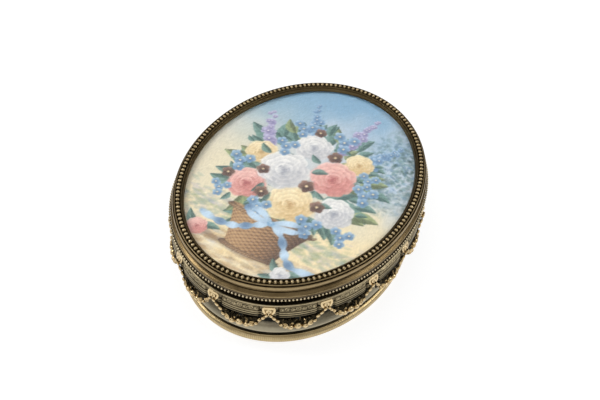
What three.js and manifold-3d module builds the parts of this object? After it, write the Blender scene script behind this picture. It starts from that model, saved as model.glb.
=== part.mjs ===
// An oval keepsake box in gilt silver. Its hinged lid frames a painted panel under glass inside a beaded
// border, and garlands hang from small brackets all round its side.
// Millimetres, +Z up. The box stands on z = 0 with its middle on the Z axis. Its long axis lies along Y
// and its hinge is at the +Y end.
import * as THREE from 'three';
import { mergeVertices } from 'three/addons/utils/BufferGeometryUtils.js';
import Module from 'manifold-3d';

const wasm = await Module();
wasm.setup();

// Plan. The middle of the beaded border is an oval, and every ring keeps its own distance from that line:
// an outset is outwards, an inset inwards.
const OVAL_LENGTH = 92;
const OVAL_WIDTH = 72.4;

// Fineness of the faceted shapes
const COLUMNS = 48;
const CURVE_STEPS = 4;
const ROUND_STEPS = 3;
const MERGE_DISTANCE = 1e-4;

// Fits
const FIT = 0.2;
const KNUCKLE_GAP = 0.3;
const LID_GAP = 0.25;
const LIP_CLEARANCE = 0.45;

// Courses of the body, from the ground up
const BASE_HEIGHT = 3.2;
const GROOVE_HEIGHT = 2.0;
const SCOTIA_HEIGHT = 11.6;
const FRIEZE_HEIGHT = 5.2;
const CORNICE_HEIGHT = 0.7;
const NECK_HEIGHT = 2.4;
const LIP_HEIGHT = 0.75;

// Base moulding: a half-round ring below a small fillet
const BASE_OUTSET = 0.7;
const BASE_ROUND_RADIUS = 1.4;
const FILLET_OUTSET = -0.2;
const FILLET_HEIGHT = 0.4;

// Wall of the body: a groove, a sloping foot and a deep scotia that rises to the frieze
const GROOVE_OUTSET = -0.7;
const FOOT_OUTSET = 0;
const FOOT_EDGE = 0.4;
const FOOT_RISE = 2.4;
const SCOTIA_INSET = 2.3;
const WALL_TOP_OUTSET = 1.8;
const WALL_TOP_EDGE = 0.3;

// Frieze: a band of raised panels with a recessed bay behind each bracket, and a reed along its foot
const FRIEZE_OUTSET = 2.2;
const FRIEZE_WALL = 2;
const BAY_DEPTH = 1.2;
const BAY_MARGIN = 0.6;
const PANEL_RAMP = 0.9;
const REED_HEIGHT = 1.3;
const REED_OUTSET = 0.25;
const CORNICE_OUTSET = 2.5;

// Inner shell, neck and floor
const SHELL_INSET = 3.3;
const SHELL_WALL = 0.9;
const NECK_OUTSET = 0.9;
const FLOOR_THICKNESS = 1;

// Linings
const WALL_LINING_THICKNESS = 0.7;
const WALL_LINING_DROP = 2.4;
const FLOOR_PAD_THICKNESS = 2.6;
const FLOOR_PAD_CROWN = 1;
const LID_LINING_THICKNESS = 0.7;
const LID_LINING_CROWN = 0.5;
const LID_LINING_MARGIN = 1.6;

// Lid rim: the lid's underside to the bead line, and the outline between
const LID_HEIGHT = 5.4;
const RIM_BORE_INSET = 1.2;
const PEARL_SEAT_OUTSET = 2.1;
const PEARL_RADIUS = 0.45;
const OGEE_OUTSET = 2.45;
const OGEE_HEIGHT = 1.7;
const COVE_OUTSET = 1.4;
const RIM_OUTSET = 1.7;
const RIM_EDGE_HEIGHT = 1.3;
const RIM_TOP_DROP = 0.35;
const BORDER_FILLET_WIDTH = 0.25;
const BORDER_FILLET_HEIGHT = 0.15;

// Beaded border
const BEAD_COUNT = 163;
const BEAD_RADIUS = 0.72;
const BEAD_NECK_RADIUS = 0.45;

// Bezel, glass and what lies behind it
const BEZEL_WIDTH = 1.05;
const BEZEL_LINE_WIDTH = 0.3;
const BEZEL_LINE_HEIGHT = 0.3;
const BEZEL_EDGE = 0.25;
const BEZEL_DEPTH = 1.45;
const GLASS_THICKNESS = 1;
const GLASS_CROWN = 0.5;
const PICTURE_THICKNESS = 0.5;
const CARD_THICKNESS = 0.5;
const BACK_PLATE_THICKNESS = 0.6;

// Brackets and garlands
const BRACKET_COUNT = 16;
const BRACKET_PHASE = -0.16;
const BRACKET_WIDTH = 4.6;
const BRACKET_HEIGHT = 3.9;
const BRACKET_DEPTH = 1.9;
const BOSS_RADIUS = 1.1;
const BOSS_HEIGHT = 0.5;
const HUSK_WIDTH = 0.9;
const HUSK_LENGTH = 1.6;
const GARLAND_OUTSET = 2.8;
const GARLAND_SAG = 4.7;
const GARLAND_END_RADIUS = 0.5;
const GARLAND_MIDDLE_RADIUS = 1.15;
const GARLAND_ROSETTE_RADIUS = 1.35;
const GARLAND_SIDES = 6;
const GARLAND_STEPS = 8;

// Hinge
const HINGE_WIDTH = 14;
const HINGE_OUTSET = 3.4;
const KNUCKLE_COUNT = 5;
const KNUCKLE_RADIUS = 1.05;
const KNUCKLE_SIDES = 12;
const PIN_RADIUS = 0.45;
const PIN_CLEARANCE = 0.1;
const PIN_END = 0.3;
const LEAF_THICKNESS = 0.6;
const LEAF_INSET = 0.9;

// Levels that several pieces share
const GROOVE_TOP = BASE_HEIGHT + GROOVE_HEIGHT;
const WALL_TOP = GROOVE_TOP + SCOTIA_HEIGHT;
const FRIEZE_TOP = WALL_TOP + FRIEZE_HEIGHT;
const CORNICE_TOP = FRIEZE_TOP + CORNICE_HEIGHT;
const NECK_TOP = CORNICE_TOP + NECK_HEIGHT;
const LIP_TOP = NECK_TOP + LIP_HEIGHT;
const LID_BOTTOM = NECK_TOP + LID_GAP;
const BEAD_LINE = LID_BOTTOM + LID_HEIGHT;
const GLASS_TOP = BEAD_LINE - BEZEL_DEPTH;
const PICTURE_TOP = GLASS_TOP - GLASS_THICKNESS;
const CARD_TOP = PICTURE_TOP - PICTURE_THICKNESS;
const BACK_PLATE_TOP = CARD_TOP - CARD_THICKNESS;
const BACK_PLATE_BOTTOM = BACK_PLATE_TOP - BACK_PLATE_THICKNESS;

// Distances from the bead line that several pieces share
const BEZEL_INSET = BEAD_RADIUS + FIT;
const SIGHT_INSET = BEZEL_INSET + BEZEL_WIDTH;
const COURSE_INSET = SHELL_INSET - FIT;
const LINING_INSET = SHELL_INSET + SHELL_WALL + FIT;
const PAD_INSET = LINING_INSET + WALL_LINING_THICKNESS + FIT;
const CHANNEL_FLOOR = BEAD_LINE - BEAD_RADIUS - FIT;

const OVAL = new THREE.EllipseCurve(
  0, 0, OVAL_WIDTH / 2, OVAL_LENGTH / 2, Math.PI / 2, Math.PI * 2.5, false, 0,
);
OVAL.arcLengthDivisions = 1440;
const OVAL_PERIMETER = OVAL.getLength();
const BRACKET_PITCH = OVAL_PERIMETER / BRACKET_COUNT;

// A point beside the bead line, by the fraction of the way round from the hinge end
function ovalPoint(fraction, outset) {
  const along = fraction - Math.floor(fraction);
  const point = OVAL.getPointAt(along);
  const tangent = OVAL.getTangentAt(along);
  return new THREE.Vector2(point.x + tangent.y * outset, point.y - tangent.x * outset);
}

function evenFractions(count) {
  return Array.from({ length: count }, (unused, index) => index / count);
}

function bracketFraction(index) {
  return (index + BRACKET_PHASE) / BRACKET_COUNT;
}

// Positions alone, with shared corners merged
function closedMesh(geometry) {
  geometry.deleteAttribute('normal');
  geometry.deleteAttribute('uv');
  return mergeVertices(geometry, MERGE_DISTANCE);
}

// A ring whose section, given as outset and height, may change on its way round
function ovalRing(sectionAt, fractions) {
  const rows = sectionAt(fractions[0]).length + 1;
  const blank = Array.from({ length: rows }, () => new THREE.Vector2(1, 0));
  const ring = new THREE.LatheGeometry(blank, fractions.length);
  const place = ring.getAttribute('position');
  for (let column = 0; column <= fractions.length; column += 1) {
    const fraction = fractions[column % fractions.length];
    const section = sectionAt(fraction);
    for (let row = 0; row < rows; row += 1) {
      const corner = section[row % section.length];
      const point = ovalPoint(fraction, corner.x);
      place.setXYZ(column * rows + row, point.x, point.y, corner.y);
    }
  }
  return closedMesh(ring);
}

function plainRing(section) {
  return ovalRing(() => section, evenFractions(COLUMNS));
}

// A plate or pad, by an outline of points from its lower to its upper middle: the share of the way out
// to its edge, and the height
function ovalDisc(outline, outset) {
  const disc = new THREE.LatheGeometry(outline, COLUMNS);
  const place = disc.getAttribute('position');
  evenFractions(COLUMNS).concat(0).forEach((fraction, column) => {
    const edge = ovalPoint(fraction, outset);
    outline.forEach((corner, row) => {
      place.setXYZ(column * outline.length + row, edge.x * corner.x, edge.y * corner.x, corner.y);
    });
  });
  return closedMesh(disc);
}

function corners(...pairs) {
  return pairs.map(([across, up]) => new THREE.Vector2(across, up));
}

function plate(outset, bottom, top) {
  return ovalDisc(corners([0, bottom], [1, bottom], [1, top], [0, top]), outset);
}

function band(inside, outside, bottom, top) {
  return plainRing(corners([inside, bottom], [outside, bottom], [outside, top], [inside, top]));
}

function toSolid(geometry) {
  const mesh = closedMesh(geometry);
  return new wasm.Manifold(new wasm.Mesh({
    numProp: 3,
    vertProperties: Float32Array.from(mesh.getAttribute('position').array),
    triVerts: Uint32Array.from(mesh.getIndex().array),
  }));
}

function toGeometry(solid) {
  const mesh = solid.getMesh();
  const geometry = new THREE.BufferGeometry();
  geometry.setAttribute('position', new THREE.BufferAttribute(Float32Array.from(mesh.vertProperties), 3));
  geometry.setIndex(new THREE.BufferAttribute(Uint32Array.from(mesh.triVerts), 1));
  return geometry;
}

// A block by its low and high corners
function block(low, high) {
  const [across, along, up] = high.map((value, axis) => value - low[axis]);
  const box = new THREE.BoxGeometry(across, along, up);
  return box.translate(low[0] + across / 2, low[1] + along / 2, low[2] + up / 2);
}

// Base and wall of the body
function baseMouldingSection() {
  const roundMiddle = BASE_OUTSET - BASE_ROUND_RADIUS;
  const outline = new THREE.Path();
  outline.moveTo(-COURSE_INSET, 0);
  outline.lineTo(roundMiddle, 0);
  outline.absarc(roundMiddle, BASE_ROUND_RADIUS, BASE_ROUND_RADIUS, -Math.PI / 2, Math.PI / 3, false);
  outline.lineTo(FILLET_OUTSET, BASE_HEIGHT - FILLET_HEIGHT);
  outline.lineTo(FILLET_OUTSET, BASE_HEIGHT);
  outline.lineTo(-COURSE_INSET, BASE_HEIGHT);
  return outline.getPoints(ROUND_STEPS);
}

function bodyWallSection() {
  const footTop = GROOVE_TOP + FOOT_EDGE + FOOT_RISE;
  const topEdge = WALL_TOP - WALL_TOP_EDGE;
  const hollow = topEdge - footTop;
  const outline = new THREE.Path();
  outline.moveTo(-COURSE_INSET, BASE_HEIGHT);
  outline.lineTo(GROOVE_OUTSET, BASE_HEIGHT);
  outline.lineTo(GROOVE_OUTSET, GROOVE_TOP);
  outline.lineTo(FOOT_OUTSET, GROOVE_TOP);
  outline.lineTo(FOOT_OUTSET, GROOVE_TOP + FOOT_EDGE);
  outline.lineTo(-SCOTIA_INSET, footTop);
  outline.bezierCurveTo(
    -SCOTIA_INSET, footTop + hollow / 2, -SCOTIA_INSET, topEdge - hollow / 4, WALL_TOP_OUTSET, topEdge,
  );
  outline.lineTo(WALL_TOP_OUTSET, WALL_TOP);
  outline.lineTo(-COURSE_INSET, WALL_TOP);
  return outline.getPoints(CURVE_STEPS);
}

// Frieze
const BAY_HALF_WIDTH = BRACKET_WIDTH / 2 + BAY_MARGIN;

// Places along one bracket's pitch where the frieze turns, measured from the bracket's middle
function friezeFractions() {
  const panelStart = BAY_HALF_WIDTH + PANEL_RAMP;
  const panelThird = (BRACKET_PITCH - 2 * panelStart) / 3;
  const stops = [
    -BAY_HALF_WIDTH, BAY_HALF_WIDTH, panelStart, panelStart + panelThird,
    panelStart + 2 * panelThird, BRACKET_PITCH - panelStart,
  ];
  const every = evenFractions(BRACKET_COUNT).map((unused, index) => bracketFraction(index));
  return every.flatMap((middle) => stops.map((stop) => middle + stop / OVAL_PERIMETER));
}

function friezeSection(fraction) {
  const steps = fraction * BRACKET_COUNT - BRACKET_PHASE;
  const fromBracket = Math.abs(steps - Math.round(steps)) * BRACKET_PITCH;
  const inBay = fromBracket < BAY_HALF_WIDTH + PANEL_RAMP / 2;
  const face = FRIEZE_OUTSET - (inBay ? BAY_DEPTH : 0);
  const inside = FRIEZE_OUTSET - FRIEZE_WALL;
  return corners(
    [inside, WALL_TOP],
    [face, WALL_TOP],
    [face + REED_OUTSET, WALL_TOP + REED_HEIGHT / 2],
    [face, WALL_TOP + REED_HEIGHT],
    [face, FRIEZE_TOP],
    [inside, FRIEZE_TOP],
  );
}

// Neck, with the lip that enters the lid and a notch that makes room for the hinge's leaves
const LEAF_INNER = OVAL_LENGTH / 2 - LEAF_INSET;
const HINGE_AXIS_Y = OVAL_LENGTH / 2 + HINGE_OUTSET;
const HINGE_AXIS_Z = (CORNICE_TOP + LID_BOTTOM) / 2;

function neckGeometry() {
  const lipOutset = -RIM_BORE_INSET - LIP_CLEARANCE;
  const ring = plainRing(corners(
    [-COURSE_INSET, CORNICE_TOP],
    [NECK_OUTSET, CORNICE_TOP],
    [NECK_OUTSET, NECK_TOP],
    [lipOutset, NECK_TOP],
    [lipOutset, LIP_TOP],
    [-COURSE_INSET, LIP_TOP],
  ));
  const reach = HINGE_WIDTH / 2 + KNUCKLE_GAP;
  const notch = block(
    [-reach, LEAF_INNER - KNUCKLE_GAP, CORNICE_TOP - LEAF_THICKNESS],
    [reach, HINGE_AXIS_Y, LIP_TOP + LEAF_THICKNESS],
  );
  return toGeometry(toSolid(ring).subtract(toSolid(notch)));
}

// Lid rim
function lidRimSection() {
  const seatTop = LID_BOTTOM + 2 * PEARL_RADIUS + FIT;
  const ogeeTop = seatTop + OGEE_HEIGHT;
  const rimTop = BEAD_LINE - RIM_TOP_DROP;
  const rimFoot = rimTop - RIM_EDGE_HEIGHT;
  const channelOutset = BEAD_RADIUS + FIT;
  const filletOutset = channelOutset + BORDER_FILLET_WIDTH;
  const outline = new THREE.Path();
  outline.moveTo(-RIM_BORE_INSET, LID_BOTTOM);
  outline.lineTo(PEARL_SEAT_OUTSET, LID_BOTTOM);
  outline.lineTo(PEARL_SEAT_OUTSET, seatTop);
  outline.lineTo(OGEE_OUTSET, seatTop);
  outline.bezierCurveTo(
    OGEE_OUTSET, seatTop + OGEE_HEIGHT / 2, COVE_OUTSET, seatTop + OGEE_HEIGHT / 2, COVE_OUTSET, ogeeTop,
  );
  outline.lineTo(RIM_OUTSET, rimFoot);
  outline.bezierCurveTo(
    RIM_OUTSET, rimTop - RIM_EDGE_HEIGHT / 4, RIM_OUTSET, rimTop, filletOutset, rimTop,
  );
  outline.lineTo(filletOutset, BEAD_LINE + BORDER_FILLET_HEIGHT);
  outline.lineTo(channelOutset, BEAD_LINE + BORDER_FILLET_HEIGHT);
  outline.lineTo(channelOutset, CHANNEL_FLOOR);
  outline.lineTo(-RIM_BORE_INSET, CHANNEL_FLOOR);
  return outline.getPoints(CURVE_STEPS);
}

// Beaded border: the section swells to a bead and draws in again
function beadBorderGeometry() {
  const fractions = evenFractions(2 * BEAD_COUNT);
  const sectionAt = (fraction) => {
    const onBead = Math.round(fraction * 2 * BEAD_COUNT) % 2 === 0;
    const radius = onBead ? BEAD_RADIUS : BEAD_NECK_RADIUS;
    return corners(
      [0, BEAD_LINE - radius], [radius, BEAD_LINE], [0, BEAD_LINE + radius], [-radius, BEAD_LINE],
    );
  };
  return ovalRing(sectionAt, fractions);
}

function pearlEdgeGeometry() {
  const middle = new THREE.Vector2(PEARL_SEAT_OUTSET + FIT + PEARL_RADIUS, LID_BOTTOM + PEARL_RADIUS);
  const round = new THREE.EllipseCurve(middle.x, middle.y, PEARL_RADIUS, PEARL_RADIUS);
  return plainRing(round.getPoints(6).slice(0, -1));
}

function bezelSection() {
  const sight = -SIGHT_INSET;
  const line = BEAD_LINE + BEZEL_LINE_HEIGHT;
  const inBore = -RIM_BORE_INSET - FIT;
  return corners(
    [sight, GLASS_TOP],
    [inBore, GLASS_TOP],
    [inBore, CHANNEL_FLOOR],
    [-BEZEL_INSET, CHANNEL_FLOOR],
    [-BEZEL_INSET, line],
    [-BEZEL_INSET - BEZEL_LINE_WIDTH, line],
    [sight, GLASS_TOP + BEZEL_EDGE],
  );
}

// Glass: flat where the bezel holds it, and crowned in the sight
function glassGeometry() {
  const edgeInset = RIM_BORE_INSET + FIT;
  const sightShare = (OVAL_WIDTH / 2 - SIGHT_INSET - FIT) / (OVAL_WIDTH / 2 - edgeInset);
  const crownAt = (share) => GLASS_TOP + GLASS_CROWN * (1 - (share / sightShare) ** 2);
  const half = sightShare / 2;
  return ovalDisc(corners(
    [0, PICTURE_TOP], [1, PICTURE_TOP], [1, GLASS_TOP], [sightShare, GLASS_TOP],
    [half, crownAt(half)], [0, crownAt(0)],
  ), -edgeInset);
}

// A soft pad: straight sides, then a crown that is steep at its edge. Its flat side is below, or above
// where the thickness and the crown are negative.
const CROWN_SHARES = [0.9, 0.6, 0];

function padGeometry(outset, flat, thickness, crown) {
  const edge = flat + thickness;
  const crownPoints = CROWN_SHARES.map((share) => [share, edge + crown * (1 - share ** 4)]);
  const outline = corners([0, flat], [1, flat], [1, edge], ...crownPoints);
  return ovalDisc(thickness > 0 ? outline : outline.reverse(), outset);
}

// A bracket: a half-round block with a boss on its face and a husk below. Its back is on z = 0 of its own
// frame, its top on y = 0.
function bracketGeometry() {
  const half = BRACKET_WIDTH / 2;
  const roundMiddle = half - BRACKET_HEIGHT;
  const outline = new THREE.Shape();
  outline.moveTo(half, 0);
  outline.lineTo(-half, 0);
  outline.lineTo(-half, roundMiddle);
  outline.absarc(0, roundMiddle, half, Math.PI, Math.PI * 2, false);
  outline.lineTo(half, 0);
  const shield = new THREE.ExtrudeGeometry(
    outline, { depth: BRACKET_DEPTH, bevelEnabled: false, curveSegments: ROUND_STEPS },
  );
  const boss = new THREE.CylinderGeometry(BOSS_RADIUS, BOSS_RADIUS, 2 * BOSS_HEIGHT, 8);
  boss.rotateX(Math.PI / 2).translate(0, roundMiddle, BRACKET_DEPTH);
  const husk = block(
    [-HUSK_WIDTH / 2, -BRACKET_HEIGHT - HUSK_LENGTH, BRACKET_DEPTH / 4],
    [HUSK_WIDTH / 2, -BRACKET_HEIGHT + half / 2, BRACKET_DEPTH],
  );
  return toGeometry(toSolid(shield).add(toSolid(boss)).add(toSolid(husk)));
}

const BRACKET_BACK = FRIEZE_OUTSET - BAY_DEPTH + REED_OUTSET + FIT;
const BRACKET_TOP = FRIEZE_TOP - FIT;

function placeBracket(mesh, index) {
  const fraction = bracketFraction(index);
  const middle = ovalPoint(fraction, BRACKET_BACK);
  const outward = ovalPoint(fraction, BRACKET_BACK + 1).sub(middle);
  const facing = new THREE.Vector3(outward.x, outward.y, 0);
  const up = new THREE.Vector3(0, 0, 1);
  const basis = new THREE.Matrix4().makeBasis(up.clone().cross(facing), up, facing);
  mesh.quaternion.setFromRotationMatrix(basis);
  mesh.position.set(middle.x, middle.y, BRACKET_TOP);
}

// A garland: a spindle that swells to its rosette, bent along a swag between two husks
function garlandGeometry(index) {
  const endGap = HUSK_WIDTH / 2 + FIT + GARLAND_END_RADIUS;
  const halfSpan = BRACKET_PITCH / 2 - endGap;
  const endHeight = BRACKET_TOP - BRACKET_HEIGHT - HUSK_LENGTH + GARLAND_END_RADIUS;
  const endOutset = BRACKET_BACK + BRACKET_DEPTH;
  const swell = (along) => 1 - along * along;
  const outline = [new THREE.Vector2(0, -1)];
  for (let step = 0; step <= GARLAND_STEPS; step += 1) {
    const along = (2 * step) / GARLAND_STEPS - 1;
    const atMiddle = 2 * step === GARLAND_STEPS;
    const full = atMiddle ? GARLAND_ROSETTE_RADIUS : GARLAND_MIDDLE_RADIUS;
    outline.push(new THREE.Vector2(THREE.MathUtils.lerp(GARLAND_END_RADIUS, full, swell(along)), along));
  }
  outline.push(new THREE.Vector2(0, 1));
  const spindle = new THREE.LatheGeometry(outline, GARLAND_SIDES);
  const place = spindle.getAttribute('position');
  const middle = bracketFraction(index + 0.5);
  for (let corner = 0; corner < place.count; corner += 1) {
    const along = place.getY(corner);
    const slope = Math.atan2(2 * GARLAND_SAG * along, halfSpan);
    const across = place.getZ(corner);
    const distance = along * halfSpan - across * Math.sin(slope);
    const outset = THREE.MathUtils.lerp(endOutset, GARLAND_OUTSET, swell(along)) + place.getX(corner);
    const point = ovalPoint(middle + distance / OVAL_PERIMETER, outset);
    const height = endHeight - GARLAND_SAG * swell(along) + across * Math.cos(slope);
    place.setXYZ(corner, point.x, point.y, height);
  }
  return closedMesh(spindle);
}

// Hinge: each leaf is a plate with a tab to each of its own knuckles
const KNUCKLE_PITCH = HINGE_WIDTH / KNUCKLE_COUNT;

function barrel(radius, from, to) {
  const rod = new THREE.CylinderGeometry(radius, radius, to - from, KNUCKLE_SIDES);
  return rod.rotateZ(Math.PI / 2).translate((from + to) / 2, HINGE_AXIS_Y, HINGE_AXIS_Z);
}

function hingeLeafGeometry(bottom, firstKnuckle) {
  const top = bottom + LEAF_THICKNESS;
  const leafOuter = HINGE_AXIS_Y - KNUCKLE_RADIUS - KNUCKLE_GAP;
  let leaf = toSolid(block([-HINGE_WIDTH / 2, LEAF_INNER, bottom], [HINGE_WIDTH / 2, leafOuter, top]));
  for (let knuckle = firstKnuckle; knuckle < KNUCKLE_COUNT; knuckle += 2) {
    const from = -HINGE_WIDTH / 2 + knuckle * KNUCKLE_PITCH + KNUCKLE_GAP / 2;
    const to = from + KNUCKLE_PITCH - KNUCKLE_GAP;
    const tab = block([from, leafOuter - KNUCKLE_GAP, bottom], [to, HINGE_AXIS_Y, top]);
    leaf = leaf.add(toSolid(tab)).add(toSolid(barrel(KNUCKLE_RADIUS, from, to)));
  }
  const bore = barrel(PIN_RADIUS + PIN_CLEARANCE, -HINGE_WIDTH, HINGE_WIDTH);
  return toGeometry(leaf.subtract(toSolid(bore)));
}

function hingePinGeometry() {
  const reach = HINGE_WIDTH / 2 + PIN_END;
  return closedMesh(barrel(PIN_RADIUS, -reach, reach));
}

// Finishes
function finish(color, roughness, metalness) {
  return new THREE.MeshStandardMaterial({ color, roughness, metalness });
}

const antiqueGilt = finish(0xa88f5f, 0.35, 1);
const brightGilt = finish(0xe2c987, 0.3, 1);
const darkSilver = finish(0x4a4a44, 0.4, 1);
const paleSilver = finish(0xb9b6a4, 0.35, 1);
const clearGlass = new THREE.MeshStandardMaterial({
  color: 0xeef4f4, roughness: 0.05, metalness: 0, transparent: true, opacity: 0.3,
});
const paintedPanel = finish(0x9db4c4, 0.5, 0);
const greyCard = finish(0x8c8577, 0.9, 0);
const roseVelvet = finish(0x7c2f3a, 0.95, 0);
const creamSilk = finish(0xd9cdb2, 0.6, 0);

const box = new THREE.Group();
const body = new THREE.Group();
const lid = new THREE.Group();
box.add(body, lid);

function addPiece(group, name, geometry, material) {
  const mesh = new THREE.Mesh(geometry, material);
  mesh.name = name;
  group.add(mesh);
  return mesh;
}

addPiece(body, 'bottom_plate', plate(-SHELL_INSET, 0, FLOOR_THICKNESS), antiqueGilt);
addPiece(body, 'base_moulding', plainRing(baseMouldingSection()), antiqueGilt);
addPiece(body, 'body_wall', plainRing(bodyWallSection()), darkSilver);
addPiece(body, 'frieze_band', ovalRing(friezeSection, friezeFractions()), paleSilver);
addPiece(body, 'cornice_ring', band(-COURSE_INSET, CORNICE_OUTSET, FRIEZE_TOP, CORNICE_TOP), paleSilver);
addPiece(body, 'neck_ring', neckGeometry(), darkSilver);
addPiece(
  body, 'inner_shell', band(-SHELL_INSET - SHELL_WALL, -SHELL_INSET, FLOOR_THICKNESS, LIP_TOP), antiqueGilt,
);
addPiece(
  body, 'wall_lining',
  band(-LINING_INSET - WALL_LINING_THICKNESS, -LINING_INSET, FLOOR_THICKNESS, LIP_TOP - WALL_LINING_DROP),
  roseVelvet,
);
addPiece(
  body, 'floor_pad', padGeometry(-PAD_INSET, FLOOR_THICKNESS, FLOOR_PAD_THICKNESS, FLOOR_PAD_CROWN), roseVelvet,
);
addPiece(body, 'body_hinge_leaf', hingeLeafGeometry(CORNICE_TOP, 0), antiqueGilt);
addPiece(body, 'hinge_pin', hingePinGeometry(), antiqueGilt);

for (let index = 0; index < BRACKET_COUNT; index += 1) {
  const number = String(index + 1).padStart(2, '0');
  placeBracket(addPiece(body, `bracket_${number}`, bracketGeometry(), brightGilt), index);
  addPiece(body, `garland_${number}`, garlandGeometry(index), brightGilt);
}

addPiece(lid, 'lid_rim', plainRing(lidRimSection()), antiqueGilt);
addPiece(lid, 'bead_border', beadBorderGeometry(), antiqueGilt);
addPiece(lid, 'pearl_edge', pearlEdgeGeometry(), antiqueGilt);
addPiece(lid, 'glass_bezel', plainRing(bezelSection()), antiqueGilt);
addPiece(lid, 'glass_cover', glassGeometry(), clearGlass);
addPiece(lid, 'picture_panel', plate(-RIM_BORE_INSET - FIT, CARD_TOP, PICTURE_TOP), paintedPanel);
addPiece(lid, 'backing_card', plate(-RIM_BORE_INSET - FIT, BACK_PLATE_TOP, CARD_TOP), greyCard);
addPiece(lid, 'lid_back_plate', plate(-RIM_BORE_INSET - FIT, BACK_PLATE_BOTTOM, BACK_PLATE_TOP), antiqueGilt);
addPiece(
  lid, 'lid_lining',
  padGeometry(-PAD_INSET - LID_LINING_MARGIN, BACK_PLATE_BOTTOM, -LID_LINING_THICKNESS, -LID_LINING_CROWN),
  creamSilk,
);
addPiece(lid, 'lid_hinge_leaf', hingeLeafGeometry(LID_BOTTOM - LEAF_THICKNESS, 1), antiqueGilt);

export default box;
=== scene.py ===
"""Looks of an oval gilt keepsake box: a beaded lid with a painted panel under glass, on a garlanded body.

Lengths are millimetres until a mesh is handed over. Rings are described by a section, in outset from the
bead line of the lid and height, and by the distance along that line, which starts at the hinge end.
"""

from __future__ import annotations

import logging
import math
from dataclasses import dataclass
from enum import Enum
from functools import cached_property
from typing import Callable, Optional, Sequence, Union

import bmesh
import bpy
import numpy as np
from bmesh.types import BMEdge, BMesh, BMFace, BMVert
from bpy.types import Material, Mesh, Node, NodeSocket, NodeTree, Object
from mathutils import Matrix, Vector


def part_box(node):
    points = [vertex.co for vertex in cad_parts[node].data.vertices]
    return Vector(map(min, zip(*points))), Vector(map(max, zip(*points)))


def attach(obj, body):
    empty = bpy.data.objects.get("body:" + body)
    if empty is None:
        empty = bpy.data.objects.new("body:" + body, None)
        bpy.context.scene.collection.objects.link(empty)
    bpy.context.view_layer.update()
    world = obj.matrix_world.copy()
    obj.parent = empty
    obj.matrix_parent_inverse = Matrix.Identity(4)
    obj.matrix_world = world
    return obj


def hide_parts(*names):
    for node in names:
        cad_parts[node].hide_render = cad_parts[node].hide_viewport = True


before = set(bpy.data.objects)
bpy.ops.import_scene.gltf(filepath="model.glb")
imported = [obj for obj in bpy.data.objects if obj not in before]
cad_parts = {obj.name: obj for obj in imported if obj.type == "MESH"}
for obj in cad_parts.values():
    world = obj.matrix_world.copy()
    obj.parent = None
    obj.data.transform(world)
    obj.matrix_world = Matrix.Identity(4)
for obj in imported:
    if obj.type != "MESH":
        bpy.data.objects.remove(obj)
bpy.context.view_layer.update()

log = logging.getLogger("keepsake_box")

MM = 0.001
TURN = math.tau
PLAIN_COLUMNS = 480
HIDDEN_COLUMNS = 240
NECK_COLUMNS = 360
STROKED_COLUMNS = 1680
CHASED_COLUMNS = 1800
GLASS_COLUMNS = 192

# Vertex values that the metal finishes read, 0 bright and 1 dark: patina in the hollows, and on some pieces
# painted shade and painted highlights.
PATINA_AND_PAINTED_LIGHT = "hollow"
RUN = "run"
OUTSET = "outset"
PAINT = "paint"
RING_MAP = "Ring"
FLOAT_SOCKET = "NodeSocketFloat"
COLOUR_SOCKET = "NodeSocketColor"

Pair = tuple[float, float]
Triple = tuple[float, float, float]
Colour = Triple
Array = np.ndarray
Relief = Callable[[Array, Array, Array], tuple[Array, Array]]
SocketValue = Union[NodeSocket, float, tuple]


class Body(Enum):
    """The two bodies that pieces ride on."""

    BOX = "body"
    LID = "lid"


class Slot(Enum):
    """The record's material slots."""

    ANTIQUE_GILT = "antique_gilt"
    BRIGHT_GILT = "bright_gilt"
    PALE_SILVER = "pale_silver"
    DARK_SILVER = "dark_silver"
    CLEAR_GLASS = "clear_glass"
    PAINTED_PANEL = "painted_panel"
    ROSE_VELVET = "rose_velvet"
    CREAM_SILK = "cream_silk"


def low(node: str) -> Vector:
    """Lowest corner of a node, in millimetres."""
    return Vector(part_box(node)[0]) / MM


def high(node: str) -> Vector:
    """Highest corner of a node, in millimetres."""
    return Vector(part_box(node)[1]) / MM


def ease(start: float, stop: float, value: Array) -> Array:
    """A smooth step from 0 at start to 1 at stop.

    Args:
        start: Value where the step begins.
        stop: Value where it ends, which may be the lower of the two.
        value: Values to look up.

    Returns:
        The step's height at each value.
    """
    share = np.clip((value - start) / (stop - start), 0.0, 1.0)
    return share * share * (3.0 - 2.0 * share)


def ridge(width: float, value: Array) -> Array:
    """A soft hump of height 1 and the given half width round zero."""
    return np.exp(-np.square(value / width))


def clamp(value: float) -> float:
    """The value held between 0 and 1."""
    return min(1.0, max(0.0, value))


def bezier(share: float) -> Array:
    """Weights of a Bezier path's four control points at a share of its way."""
    rest = 1 - share
    return np.array([rest**3, 3 * share * rest**2, 3 * share * share * rest, share**3])


def polar(middle: Pair, reach: float, angle: float) -> Pair:
    """A place at a distance and an angle from a middle."""
    return middle[0] + reach * math.cos(angle), middle[1] + reach * math.sin(angle)


def only(kind: type, items: Sequence[object]) -> list:
    """The items of one kind from the mixed list that an operator returns."""
    return [item for item in items if isinstance(item, kind)]


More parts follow.
